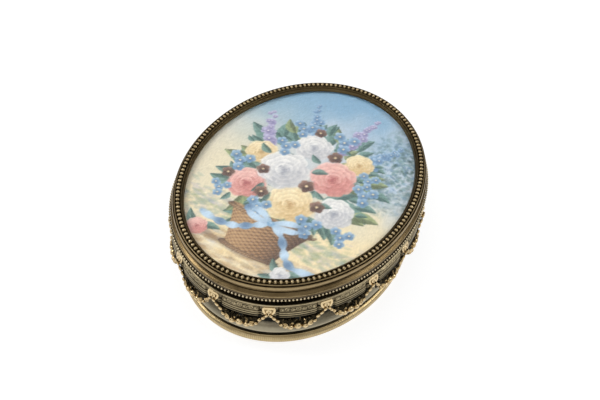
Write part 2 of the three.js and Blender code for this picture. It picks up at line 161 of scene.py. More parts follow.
@dataclass(frozen=True)
class Oval:
    """The bead line: an ellipse whose +Y end is at the hinge, walked counter-clockwise.

    Attributes:
        semi_short: Half its width, along X.
        semi_long: Half its length, along Y.
        steps: Fineness of the table of distances.
    """

    semi_short: float
    semi_long: float
    steps: int = 14400

    @cached_property
    def table(self) -> tuple[Array, Array]:
        """Angles round the oval, and the distance walked up to each."""
        angle = np.linspace(0.0, TURN, self.steps + 1)
        step = np.hypot(
            np.diff(self.semi_short * np.sin(angle)), np.diff(self.semi_long * np.cos(angle))
        )
        return angle, np.concatenate(([0.0], np.cumsum(step)))

    @property
    def perimeter(self) -> float:
        """The whole way round."""
        return float(self.table[1][-1])

    def half_sizes(self, outset: float) -> Pair:
        """Half the width and half the length at an outset."""
        return self.semi_short + outset, self.semi_long + outset

    def fill(self, across: Array, along: Array, outset: float) -> tuple[Array, Array]:
        """Draws a square sheet out to fill the oval.

        Args:
            across: Place on the square along X, from -1 to 1.
            along: Place on the square along Y, from -1 to 1.
            outset: Outset of the sheet's edge.

        Returns:
            X and Y of each point.
        """
        half_width, half_length = self.half_sizes(outset)
        x = half_width * across * np.sqrt(1.0 - along * along / 2.0)
        y = half_length * along * np.sqrt(1.0 - across * across / 2.0)
        return x, y

    def place(self, along: Array, outset: Array) -> tuple[Array, Array]:
        """Points beside the bead line.

        Args:
            along: Distance walked from the hinge end.
            outset: Distance out from the bead line.

        Returns:
            X and Y of each point.
        """
        angles, runs = self.table
        angle = np.interp(np.mod(along, runs[-1]), runs, angles)
        sine = np.sin(angle)
        cosine = np.cos(angle)
        slant = np.hypot(self.semi_long * sine, self.semi_short * cosine)
        x = -sine * (self.semi_short + outset * self.semi_long / slant)
        y = cosine * (self.semi_long + outset * self.semi_short / slant)
        return x, y

    def seat(self, along: float, outset: float, height: float) -> Matrix:
        """A frame that stands on the oval: X along it, Y up and Z out.

        Args:
            along: Distance walked from the hinge end.
            outset: Distance out from the bead line.
            height: Height of the frame's origin.

        Returns:
            The frame as a matrix.
        """
        near = self.place(np.array([along]), np.array([outset]))
        far = self.place(np.array([along]), np.array([outset + 1.0]))
        out = Vector((far[0][0] - near[0][0], far[1][0] - near[1][0], 0.0))
        up = Vector((0.0, 0.0, 1.0))
        matrix = Matrix((up.cross(out), up, out)).transposed().to_4x4()
        matrix.translation = (near[0][0], near[1][0], height)
        return matrix


class Section:
    """The closed outline of a ring, as outset and height, drawn counter-clockwise.

    Attributes:
        points: Corners of the outline.
    """

    def __init__(self, outset: float, height: float) -> None:
        """Starts the outline at a corner that doesn't show."""
        self.points: list[Pair] = [(outset, height)]

    @classmethod
    def block(cls, inner: float, outer: float, bottom: float, top: float) -> Section:
        """A plain outline with four corners."""
        return cls(inner, bottom).lines((outer, bottom), (outer, top), (inner, top))

    def lines(self, *corners: Pair) -> Section:
        """Draws straight stretches from corner to corner."""
        self.points.extend(corners)
        return self

    def curve(self, first: Pair, second: Pair, end: Pair, steps: int = 10) -> Section:
        """Draws a Bezier stretch.

        Args:
            first: Control point near the start.
            second: Control point near the end.
            end: Where the stretch ends.
            steps: Straight pieces that stand for it.

        Returns:
            The section itself.
        """
        corners = np.array([self.points[-1], first, second, end])
        for step in range(1, steps + 1):
            self.points.append(tuple(bezier(step / steps) @ corners))
        return self

    def arc(self, middle: Pair, radius: float, start: float, stop: float, steps: int = 12) -> Section:
        """Draws a round stretch.

        Args:
            middle: Centre of the round.
            radius: Its radius.
            start: First angle in degrees, from outwards.
            stop: Last angle in degrees.
            steps: Straight pieces that stand for it.

        Returns:
            The section itself.
        """
        for step in range(steps + 1):
            angle = math.radians(start + (stop - start) * step / steps)
            point = (middle[0] + radius * math.cos(angle), middle[1] + radius * math.sin(angle))
            if math.dist(point, self.points[-1]) > 1e-6:
                self.points.append(point)
        return self

    def eased(self, radius: float, sharp: float = 25.0) -> Section:
        """Rounds the sharp corners, as on worn metal.

        Args:
            radius: How far from a corner its round begins.
            sharp: Turn in degrees from which a corner is rounded.

        Returns:
            A new section.
        """
        corners = np.array(self.points)
        rounded = Section(*self.points[0])
        rounded.points = []
        for before, corner, after in zip(np.roll(corners, 1, 0), corners, np.roll(corners, -1, 0)):
            back = before - corner
            ahead = after - corner
            lengths = np.hypot(*back), np.hypot(*ahead)
            cosine = float(-(back @ ahead) / (lengths[0] * lengths[1]))
            if cosine > math.cos(math.radians(sharp)):
                rounded.points.append(tuple(corner))
                continue
            start = corner + back / lengths[0] * min(radius, 0.4 * lengths[0])
            stop = corner + ahead / lengths[1] * min(radius, 0.4 * lengths[1])
            for t in (0.0, 0.33, 0.67, 1.0):
                rounded.points.append(
                    tuple((1 - t) ** 2 * start + 2 * t * (1 - t) * corner + t * t * stop)
                )
        return rounded

    def runs(self) -> Array:
        """Distance along the outline up to each corner."""
        corners = np.array(self.points)
        return np.concatenate(([0.0], np.cumsum(np.hypot(*np.diff(corners, axis=0).T))))


class Shelter:
    """How much of its sky each corner of a set of sections has lost to the others."""

    def __init__(self, sections: Sequence[Section], reach: float = 4.0, rays: int = 21) -> None:
        """Collects the outlines that cast shade.

        Args:
            sections: All sections of the box with the lid shut.
            reach: How far a shading edge still counts.
            rays: Directions tried at each corner.
        """
        starts = [np.array(section.points) for section in sections]
        self.starts = np.concatenate(starts)
        self.spans = np.concatenate([np.roll(points, -1, 0) - points for points in starts])
        self.reach = reach
        self.tilts = np.radians(np.linspace(-80.0, 80.0, rays))

    def of(self, section: Section) -> Array:
        """Shade on each corner of a section.

        Args:
            section: One of the sections, or one like them.

        Returns:
            0 for an open corner, up to 1 for one that is shut in.
        """
        corners = np.array(section.points)
        ahead = np.roll(corners, -1, 0) - corners
        behind = corners - np.roll(corners, 1, 0)
        chord = ahead / np.hypot(*ahead.T)[:, None] + behind / np.hypot(*behind.T)[:, None]
        normal = np.stack([chord[:, 1], -chord[:, 0]], axis=1)
        normal /= np.hypot(*normal.T)[:, None] + 1e-9
        eye = corners + normal * 0.02
        cosine = np.cos(self.tilts)
        sine = np.sin(self.tilts)
        ray_x = normal[:, :1] * cosine - normal[:, 1:] * sine
        ray_y = normal[:, :1] * sine + normal[:, 1:] * cosine
        cross = ray_x[..., None] * self.spans[:, 1] - ray_y[..., None] * self.spans[:, 0]
        cross = np.where(np.abs(cross) < 1e-9, 1e-9, cross)
        gap_x = (self.starts[:, 0] - eye[:, :1])[:, None, :]
        gap_y = (self.starts[:, 1] - eye[:, 1:])[:, None, :]
        distance = (gap_x * self.spans[:, 1] - gap_y * self.spans[:, 0]) / cross
        share = (gap_x * ray_y[..., None] - gap_y * ray_x[..., None]) / cross
        hit = (distance > 0) & (share >= 0) & (share <= 1)
        nearest = np.where(hit, distance, np.inf).min(axis=2)
        shade = 1.0 - ease(0.0, self.reach, np.minimum(nearest, self.reach))
        return (shade * cosine).sum(axis=1) / cosine.sum()


def new_object(name: str, bm: BMesh) -> Object:
    """Turns a bmesh into an object.

    Args:
        name: Name of the piece.
        bm: Its mesh, which is freed.

    Returns:
        The linked object, at the origin.
    """
    mesh = bpy.data.meshes.new(name)
    bm.to_mesh(mesh)
    bm.free()
    piece = bpy.data.objects.new(name, mesh)
    bpy.context.scene.collection.objects.link(piece)
    return piece


def corners_of(mesh: Mesh) -> Array:
    """Vertex places of a mesh, one row each."""
    flat = np.empty(len(mesh.vertices) * 3, dtype=np.float32)
    mesh.vertices.foreach_get("co", flat)
    return flat.reshape(-1, 3).astype(np.float64)


def move_corners(mesh: Mesh, x: Array, y: Array, z: Array) -> None:
    """Writes vertex places, given in millimetres, as metres."""
    mesh.vertices.foreach_set("co", (np.stack([x, y, z], axis=1) * MM).astype(np.float32).ravel())
    mesh.update()


def read_layer(mesh: Mesh, name: str) -> Array:
    """Values of a vertex attribute."""
    values = np.empty(len(mesh.vertices), dtype=np.float32)
    mesh.attributes[name].data.foreach_get("value", values)
    return values.astype(np.float64)


def write_layer(mesh: Mesh, name: str, values: Array) -> None:
    """Stores a vertex attribute, made if it is missing."""
    layer = mesh.attributes.get(name) or mesh.attributes.new(name, "FLOAT", "POINT")
    layer.data.foreach_set("value", values.astype(np.float32))


def shade(mesh: Mesh, sharp: float = 38.0) -> None:
    """Shades a mesh smooth, apart from edges that turn by more than the given degrees."""
    mesh.shade_smooth()
    mesh.set_sharp_from_angle(angle=math.radians(sharp))


def hand_over(
    piece: Object, body: Body, nodes: Sequence[str], material: Material
) -> Object:
    """Dresses a finished piece and ties it to the frame.

    Args:
        piece: The piece.
        body: Body that it moves with.
        nodes: Nodes that it stands for, none for a piece that helps another.
        material: Its material.

    Returns:
        The same piece.
    """
    piece.data.materials.clear()
    piece.data.materials.append(material)
    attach(piece, body.value)
    if nodes:
        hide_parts(*nodes)
    log.info("%s: %d faces on %s", piece.name, len(piece.data.polygons), body.value)
    return piece


def dress_node(node: str, material: Material) -> None:
    """Gives a node that stays as it is a better material."""
    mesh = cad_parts[node].data
    mesh.materials.clear()
    mesh.materials.append(material)
    log.info("%s: kept, in %s", node, material.name)


def spin_round(
    bm: BMesh, verts: Sequence[BMVert], edges: Sequence[BMEdge],
    steps: int, angle: float = TURN,
) -> list:
    """Spins an outline about the Z axis, and merges its ends after a whole turn.

    Args:
        bm: Mesh with the outline.
        verts: Corners of the outline.
        edges: Its edges.
        steps: Steps on the way.
        angle: How far it turns.

    Returns:
        The outline at the end of the turn.
    """
    return bmesh.ops.spin(
        bm, geom=[*verts, *edges], cent=(0, 0, 0), axis=(0, 0, 1), dvec=(0, 0, 0),
        angle=angle, steps=steps, use_merge=angle == TURN,
    )["geom_last"]


class OvalLathe:
    """Turns sections round the oval, and discs across it.

    Attributes:
        oval: The bead line.
        shelter: Shade that the sections cast on each other.
    """

    ARBOR = 100.0
    COARSE = 60

    def __init__(self, oval: Oval, shelter: Shelter) -> None:
        """Sets up the lathe for one box."""
        self.oval = oval
        self.shelter = shelter

    def ring(
        self, name: str, section: Section, columns: int,
        relief: Optional[Relief] = None, opening: float = 0.0,
    ) -> Object:
        """A ring with the given section.

        Args:
            name: Name of the piece.
            section: Its outline.
            columns: Steps on the way round, a multiple of the coarse steps.
            relief: Gives extra outset and extra hollow from distance along, outset and height.
            opening: Half the length left out at the hinge.

        Returns:
            The ring, with its hollows and its ring map.
        """
        bm = bmesh.new()
        hollow_layer = bm.verts.layers.float.new(PATINA_AND_PAINTED_LIGHT)
        run_layer = bm.verts.layers.float.new(RUN)
        outset_layer = bm.verts.layers.float.new(OUTSET)
        verts = []
        for (outset, height), shadow, run in zip(
            section.points, self.shelter.of(section), section.runs()
        ):
            vert = bm.verts.new((self.ARBOR + outset, 0.0, height))
            vert[hollow_layer] = shadow
            vert[run_layer] = run
            vert[outset_layer] = outset
            verts.append(vert)
        edges = [bm.edges.new(pair) for pair in zip(verts, verts[1:] + verts[:1])]
        skipped = TURN * opening / self.oval.perimeter
        bmesh.ops.rotate(bm, verts=verts, cent=(0, 0, 0), matrix=Matrix.Rotation(skipped, 3, "Z"))
        turned = spin_round(bm, verts, edges, self.COARSE, TURN - 2 * skipped)
        if opening:
            bmesh.ops.edgeloop_fill(bm, edges=edges)
            bmesh.ops.edgeloop_fill(bm, edges=only(BMEdge, turned))
        hoops = [
            edge for edge in bm.edges
            if all(abs(edge.verts[0][key] - edge.verts[1][key]) < 1e-6 for key in (run_layer, outset_layer))
        ]
        bmesh.ops.subdivide_edges(bm, edges=hoops, cuts=columns // self.COARSE - 1, use_grid_fill=True)
        bmesh.ops.recalc_face_normals(bm, faces=bm.faces)
        piece = new_object(name, bm)
        self._wrap(piece.data, relief)
        shade(piece.data)
        return piece

    def _wrap(self, mesh: Mesh, relief: Optional[Relief]) -> None:
        """Lays a turned ring on the oval and maps it.

        Args:
            mesh: The ring on its round arbor.
            relief: Extra outset and hollow, if any.
        """
        places = corners_of(mesh)
        angle = np.mod(np.arctan2(places[:, 1], places[:, 0]), TURN)
        along = angle / TURN * self.oval.perimeter
        outset = read_layer(mesh, OUTSET)
        height = places[:, 2]
        run = read_layer(mesh, RUN)
        if relief:
            extra, shadow = relief(along, outset, height)
            outset = outset + extra
            write_layer(mesh, PATINA_AND_PAINTED_LIGHT, np.clip(read_layer(mesh, PATINA_AND_PAINTED_LIGHT) + shadow, 0.0, 1.0))
        x, y = self.oval.place(along, outset)
        move_corners(mesh, x, y, height)
        self._map(mesh, along, run)

    def _map(self, mesh: Mesh, along: Array, run: Array) -> None:
        """Writes the ring map: the way round, and the way across the outline, in metres.

        Args:
            mesh: The ring.
            along: Distance round of each vertex.
            run: Distance across of each vertex.
        """
        count = len(mesh.loops)
        owner = np.empty(count, dtype=np.int32)
        mesh.loops.foreach_get("vertex_index", owner)
        sizes = np.empty(len(mesh.polygons), dtype=np.int32)
        mesh.polygons.foreach_get("loop_total", sizes)
        face = np.repeat(np.arange(len(sizes)), sizes)
        starts = np.concatenate(([0], np.cumsum(sizes)[:-1]))
        columns = []
        for values, whole in ((along, self.oval.perimeter), (run, run.max())):
            corner = values[owner]
            spread = np.maximum.reduceat(corner, starts) - np.minimum.reduceat(corner, starts)
            wraps = (spread > whole / 2)[face] & (corner < whole / 2)
            columns.append((corner + wraps * whole) * MM)
        layer = mesh.uv_layers.new(name=RING_MAP)
        layer.data.foreach_set("uv", np.stack(columns, axis=1).astype(np.float32).ravel())

    def disc(self, name: str, outline: Sequence[Pair], outset: float, columns: int) -> Object:
        """A plate or pad that fills the oval.

        Args:
            name: Name of the piece.
            outline: Share of the way out and height, from one middle to the other.
            outset: Outset of its edge.
            columns: Steps on the way round.

        Returns:
            The disc.
        """
        bm = bmesh.new()
        verts = [bm.verts.new((share * self.ARBOR, 0.0, height)) for share, height in outline]
        edges = [bm.edges.new(pair) for pair in zip(verts, verts[1:])]
        spin_round(bm, verts, edges, columns)
        bmesh.ops.remove_doubles(bm, verts=bm.verts, dist=1e-5)
        bmesh.ops.recalc_face_normals(bm, faces=bm.faces)
        piece = new_object(name, bm)
        places = corners_of(piece.data)
        angle = np.mod(np.arctan2(places[:, 1], places[:, 0]), TURN)
        x, y = self.oval.place(angle / TURN * self.oval.perimeter, np.full(len(angle), outset))
        share = np.hypot(places[:, 0], places[:, 1]) / self.ARBOR
        move_corners(piece.data, x * share, y * share, places[:, 2])
        shade(piece.data)
        return piece

    def beads(self, name: str, course: BeadCourse) -> Object:
        """A beaded wire.

        Args:
            name: Name of the piece.
            course: Sizes of its beads.

        Returns:
            The wire with its beads as one piece.
        """
        bm = bmesh.new()
        layer = bm.verts.layers.float.new(PATINA_AND_PAINTED_LIGHT)
        pitch = self.oval.perimeter / course.count
        stretch = Matrix.Diagonal((course.along, course.up, course.out, 1.0))
        made = bmesh.ops.create_uvsphere(
            bm, u_segments=8, v_segments=6, radius=1.0, matrix=stretch
        )["verts"]
        # Painted light on each bead: its top gets a painted highlight and its sides towards the gaps get
        # painted shade.
        for vert in made:
            lift = vert.co.y / course.up - abs(vert.co.x) / course.along
            vert[layer] = clamp(course.shade_level - course.shade_slope * lift)
        pattern = list(bm.verts) + list(bm.edges) + list(bm.faces)
        for index in range(1, course.count):
            seat = self.oval.seat(index * pitch, course.outset, course.height)
            copied = bmesh.ops.duplicate(bm, geom=pattern)["geom"]
            bmesh.ops.transform(bm, matrix=seat, verts=only(BMVert, copied))
        bmesh.ops.transform(bm, matrix=self.oval.seat(0.0, course.outset, course.height), verts=made)
        bmesh.ops.scale(bm, vec=(MM, MM, MM), verts=bm.verts)
        bmesh.ops.recalc_face_normals(bm, faces=bm.faces)
        core = self.ring(name, Section(course.outset + course.wire, course.height - course.wire).arc(
            (course.outset, course.height - course.wire), course.wire, 60.0, 300.0, steps=4,
        ), PLAIN_COLUMNS)
        bm.from_mesh(core.data)
        bm.to_mesh(core.data)
        bm.free()
        shade(core.data, 60.0)
        return core


@dataclass(frozen=True)
class BeadCourse:
    """Sizes of a beaded wire.

    Attributes:
        count: Beads on the way round.
        outset: Outset of the beads' middles.
        height: Height of the beads' middles.
        along: Half a bead's size along the wire.
        out: Half its size outwards.
        up: Half its height.
        wire: Radius of the wire that carries the beads.
        shade_level: Painted shade on a bead's outer and inner ends.
        shade_slope: How much the painted shade gives way to a painted highlight towards the top, and grows
            towards the gaps.
    """

    count: int
    outset: float
    height: float
    along: float
    out: float
    up: float
    wire: float
    shade_level: float
    shade_slope: float


class NodeBench:
    """Adds nodes to a tree and joins them."""

    def __init__(self, tree: NodeTree) -> None:
        """Starts on a tree."""
        self.tree = tree

    def add(
        self, kind: str, inputs: Optional[dict[Union[str, int], SocketValue]] = None, **settings: object
    ) -> Node:
        """Adds a node.

        Args:
            kind: Type name of the node.
            inputs: Sockets to link or values to set, by name or number.
            settings: The node's own properties.

        Returns:
            The node.
        """
        node = self.tree.nodes.new(kind)
        for key, value in settings.items():
            setattr(node, key, value)
        for key, value in (inputs or {}).items():
            socket = node.inputs[key]
            if isinstance(value, NodeSocket):
                self.tree.links.new(value, socket)
            elif socket.type == "RGBA":
                socket.default_value = (*value[:3], 1.0)
            else:
                socket.default_value = value
        return node

    def seen(self) -> NodeSocket:
        """One for rays of the camera, of polished metal and of glass, and nothing for other rays."""
        path = self.add("ShaderNodeLightPath").outputs
        mirrored = self.math("MAXIMUM", path["Is Glossy Ray"], path["Is Transmission Ray"])
        return self.math("MAXIMUM", path["Is Camera Ray"], mirrored)

    def math(self, operation: str, first: SocketValue, second: SocketValue = 0.0) -> NodeSocket:
        """One step of arithmetic on two values."""
        return self.add("ShaderNodeMath", {0: first, 1: second}, operation=operation).outputs[0]

    def mix(
        self, factor: SocketValue, first: SocketValue, second: SocketValue, blend: str = "MIX"
    ) -> NodeSocket:
        """Mixes two colours.

        Args:
            factor: Share of the second colour.
            first: First colour.
            second: Second colour.
            blend: How they mix.

        Returns:
            The mixed colour's socket.
        """
        inputs = {0: factor, 6: first, 7: second}
        return self.add("ShaderNodeMix", inputs, data_type="RGBA", blend_type=blend).outputs[2]

    def span(
        self, value: SocketValue, start: SocketValue, stop: SocketValue,
        first: SocketValue = 0.0, last: SocketValue = 1.0,
    ) -> NodeSocket:
        """A smooth step between two values.

        Args:
            value: Value to look up.
            start: Where the step begins.
            stop: Where it ends.
            first: Result up to the start.
            last: Result from the end on.

        Returns:
            The result's socket.
        """
        inputs = {0: value, 1: start, 2: stop, 3: first, 4: last}
        return self.add("ShaderNodeMapRange", inputs, interpolation_type="SMOOTHSTEP").outputs[0]

    def noise(self, vector: SocketValue, scale: SocketValue, detail: float = 3.0) -> NodeSocket:
        """A cloud of values between 0 and 1, with the given grains to a metre."""
        inputs = {"Vector": vector, "Scale": scale, "Detail": detail}
        return self.add("ShaderNodeTexNoise", inputs).outputs["Fac"]

    def object_places(self) -> NodeSocket:
        """Places in the object's own coordinates."""
        return self.add("ShaderNodeTexCoord").outputs["Object"]

    def attribute(self, name: str, output: str = "Fac") -> NodeSocket:
        """A vertex attribute of the piece."""
        return self.add("ShaderNodeAttribute", attribute_name=name).outputs[output]

    def group(self, tree: NodeTree, inputs: dict[str, SocketValue]) -> Node:
        """Places a shared node group with its own values."""
        return self.add("ShaderNodeGroup", inputs, node_tree=tree)

    def bump(self, strength: float, distance: float, height: SocketValue) -> NodeSocket:
        """A normal bent by heights, whose full height is the given distance in metres."""
        inputs = {"Strength": strength, "Distance": distance, "Height": height}
        return self.add("ShaderNodeBump", inputs).outputs[0]

    def surface(self, shader: Node) -> None:
        """Ends a material with a shader."""
        self.add("ShaderNodeOutputMaterial", {"Surface": shader.outputs[0]})


class SharedEffects:
    """Node groups that several finishes use, each built once.

    The numbers in capitals are scales of noises, in grains to a metre.
    """

    BROAD_SPOTS = 260.0
    FINE_SPOTS = 1500.0
    CLOUDS = 170.0
    SPECKS = 2600.0
    GLOSS_GRAIN = 900.0
    CAST_SKIN = 3800.0
    CAST_DENTS = 700.0
    LINE_STRETCH: Triple = (90.0, 5200.0, 1.0)

    @staticmethod
    def start(name: str, inputs: dict[str, str], outputs: dict[str, str]) -> tuple[NodeBench, Node]:
        """Starts a group.

        Args:
            name: Name of the group.
            inputs: Socket types by input name.
            outputs: Socket types by output name.

        Returns:
            A bench on the group, and its input node.
        """
        tree = bpy.data.node_groups.new(name, "ShaderNodeTree")
        for label, kind in inputs.items():
            tree.interface.new_socket(label, in_out="INPUT", socket_type=kind)
        for label, kind in outputs.items():
            tree.interface.new_socket(label, in_out="OUTPUT", socket_type=kind)
        bench = NodeBench(tree)
        return bench, bench.add("NodeGroupInput")

    @cached_property
    def patina(self) -> NodeTree:
        """Masks of dark patina and painted shade, which fill the hollows and break up towards the worn
        places, and of crests worn bright with a painted highlight.
        """
        bench, given = self.start(
            "Patina And Painted Light",
            {
                "Start": FLOAT_SOCKET, "Full": FLOAT_SOCKET, "Break Up": FLOAT_SOCKET,
                "Crest": FLOAT_SOCKET,
            },
            {"Mask": FLOAT_SOCKET, "Worn And Highlit": FLOAT_SOCKET},
        )
        places = bench.object_places()
        broad = bench.math("SUBTRACT", bench.noise(places, self.BROAD_SPOTS), 0.5)
        fine = bench.math("SUBTRACT", bench.noise(places, self.FINE_SPOTS), 0.5)
        spots = bench.math("ADD", broad, bench.math("MULTIPLY", fine, 0.7))
        spread = bench.math("MULTIPLY", spots, given.outputs["Break Up"])
        depth = bench.math("ADD", bench.attribute(PATINA_AND_PAINTED_LIGHT), spread)
        mask = bench.span(depth, given.outputs["Start"], given.outputs["Full"])
        worn_and_highlit = bench.span(depth, 0.0, given.outputs["Crest"], 1.0, 0.0)
        bench.add("NodeGroupOutput", {"Mask": mask, "Worn And Highlit": worn_and_highlit})
        return bench.tree

    @cached_property
    def worn_metal_and_painted_light(self) -> NodeTree:
        """Colour and roughness of old metal from its masks of patina with painted shade and of worn crests
        with a painted highlight.
        """
        bench, given = self.start(
            "Worn Metal And Painted Light",
            {
                "Mask": FLOAT_SOCKET, "Worn And Highlit": FLOAT_SOCKET, "Crest": COLOUR_SOCKET,
                "Worn": COLOUR_SOCKET, "Cloud": COLOUR_SOCKET, "Dark": COLOUR_SOCKET,
                "Worn Gloss": FLOAT_SOCKET, "Dark Gloss": FLOAT_SOCKET,
            },
            {"Colour": COLOUR_SOCKET, "Roughness": FLOAT_SOCKET},
        )
        places = bench.object_places()
        cloud = bench.span(bench.noise(places, self.CLOUDS), 0.35, 0.7)
        colour = bench.mix(cloud, given.outputs["Worn"], given.outputs["Cloud"])
        specks = bench.span(bench.noise(places, self.SPECKS, 1.0), 0.62, 0.78, 0.0, 0.55)
        colour = bench.mix(specks, colour, given.outputs["Dark"])
        colour = bench.mix(given.outputs["Worn And Highlit"], colour, given.outputs["Crest"])
        colour = bench.mix(given.outputs["Mask"], colour, given.outputs["Dark"])
        gloss = bench.span(
            given.outputs["Mask"], 0.0, 1.0, given.outputs["Worn Gloss"], given.outputs["Dark Gloss"]
        )
        grain = bench.math("SUBTRACT", bench.noise(places, self.GLOSS_GRAIN), 0.5)
        grain = bench.math("MULTIPLY", grain, 0.22)
        bench.add("NodeGroupOutput", {"Colour": colour, "Roughness": bench.math("ADD", gloss, grain)})
        return bench.tree

    @cached_property
    def cast_grain(self) -> NodeTree:
        """Height of the skin of a casting or a hand-finished moulding."""
        bench, given = self.start(
            "Cast Grain",
            {"Fine": FLOAT_SOCKET, "Dents": FLOAT_SOCKET},
            {"Height": FLOAT_SOCKET},
        )
        places = bench.object_places()
        fine = bench.math("MULTIPLY", bench.noise(places, self.CAST_SKIN), given.outputs["Fine"])
        dents = bench.math("MULTIPLY", bench.noise(places, self.CAST_DENTS), given.outputs["Dents"])
        bench.add("NodeGroupOutput", {"Height": bench.math("ADD", fine, dents)})
        return bench.tree

    @cached_property
    def polish_lines(self) -> NodeTree:
        """Height of fine lines that polishing leaves along a ring."""
        bench, given = self.start(
            "Polish Lines", {"Depth": FLOAT_SOCKET}, {"Height": FLOAT_SOCKET}
        )
        ring = bench.add("ShaderNodeUVMap", uv_map=RING_MAP).outputs[0]
        stretched = bench.add("ShaderNodeMapping", {"Vector": ring, "Scale": self.LINE_STRETCH})
        lines = bench.noise(stretched.outputs[0], 1.0, 2.0)
        bench.add("NodeGroupOutput", {"Height": bench.math("MULTIPLY", lines, given.outputs["Depth"])})
        return bench.tree

    @cached_property
    def cloth_nap(self) -> NodeTree:
        """Shade and height of a woven cloth whose nap lies in patches."""
        bench, given = self.start(
            "Cloth Nap",
            {"Threads": FLOAT_SOCKET, "Patches": FLOAT_SOCKET},
            {"Shade": FLOAT_SOCKET, "Height": FLOAT_SOCKET},
        )
        places = bench.object_places()
        patches = bench.span(bench.noise(places, given.outputs["Patches"]), 0.3, 0.72)
        pile = bench.noise(places, given.outputs["Threads"], 1.0)
        broad = bench.math("MULTIPLY", patches, 0.65)
        shade_value = bench.math("ADD", broad, bench.math("MULTIPLY", pile, 0.35))
        bench.add("NodeGroupOutput", {"Shade": shade_value, "Height": pile})
        return bench.tree


EFFECTS = SharedEffects()


def new_material(name: str) -> tuple[Material, NodeBench]:
    """An empty node material and a bench on it."""
    material = bpy.data.materials.new(name)
    material.use_nodes = True
    material.node_tree.nodes.clear()
    return material, NodeBench(material.node_tree)


@dataclass(frozen=True)
class MetalFinish:
    """Old metal: worn bright on what stands out, where a painted highlight is laid too, and dark with patina
    in the hollows.

    Attributes:
        name: Name of the material.
        crest: Colour where it is worn bright, which also stands for a painted highlight there.
        worn: Colour of its worn places.
        cloud: Colour of the duller clouds among them.
        dark: Colour of the patina.
        gloss: Roughness where worn, and under patina.
        patina: Hollow values where patina starts and where it is full.
        worn_and_highlit: Hollow value up to which crests are worn bright and carry a painted highlight.
        break_up: How ragged the patina's edge is.
        fine: Height of the grain, in millimetres.
        dents: Height of the soft dents, in millimetres.
        lines: Height of polishing lines on rings, in millimetres.
    """

    name: str
    crest: Colour
    worn: Colour
    cloud: Colour
    dark: Colour
    gloss: Pair
    patina: Pair
    worn_and_highlit: float
    break_up: float
    fine: float = 0.02
    dents: float = 0.03
    lines: float = 0.0

    def build(self) -> Material:
        """Makes the material."""
        material, bench = new_material(self.name)
        wear = bench.group(EFFECTS.patina, {
            "Start": self.patina[0], "Full": self.patina[1], "Break Up": self.break_up, "Crest": self.worn_and_highlit,
        })
        skin = bench.group(EFFECTS.worn_metal_and_painted_light, {
            "Mask": wear.outputs["Mask"], "Worn And Highlit": wear.outputs["Worn And Highlit"], "Crest": self.crest,
            "Worn": self.worn, "Cloud": self.cloud, "Dark": self.dark,
            "Worn Gloss": self.gloss[0], "Dark Gloss": self.gloss[1],
        })
        height = bench.group(EFFECTS.cast_grain, {"Fine": self.fine, "Dents": self.dents}).outputs[0]
        if self.lines:
            scored = bench.group(EFFECTS.polish_lines, {"Depth": self.lines}).outputs[0]
            height = bench.math("ADD", height, scored)
        shader = bench.add("ShaderNodeBsdfPrincipled", {
            "Base Color": skin.outputs["Colour"], "Metallic": 1.0,
            "Roughness": skin.outputs["Roughness"], "Normal": bench.bump(1.0, MM, height),
        })
        bench.surface(shader)
        return material


@dataclass(frozen=True)
class ClothFinish:
    """Velvet or silk.

    Attributes:
        name: Name of the material.
        lit: Colour where the nap lies towards the light.
        shaded: Colour where it lies away.
        roughness: Roughness of the cloth.
        sheen: Weight of its sheen.
        sheen_tint: Colour of its sheen.
        threads: Threads to a metre.
        patches: Patches of nap to a metre.
        relief: Height of the threads, in millimetres.
    """

    name: str
    lit: Colour
    shaded: Colour
    roughness: float
    sheen: float
    sheen_tint: Colour
    threads: float
    patches: float
    relief: float

    def build(self) -> Material:
        """Makes the material."""
        material, bench = new_material(self.name)
        nap = bench.group(EFFECTS.cloth_nap, {"Threads": self.threads, "Patches": self.patches})
        colour = bench.mix(nap.outputs["Shade"], self.shaded, self.lit)
        shader = bench.add("ShaderNodeBsdfPrincipled", {
            "Base Color": colour, "Roughness": self.roughness,
            "Normal": bench.bump(0.8, self.relief * MM, nap.outputs["Height"]),
            "Sheen Weight": self.sheen, "Sheen Roughness": 0.4, "Sheen Tint": self.sheen_tint,
        })
        bench.surface(shader)
        return material


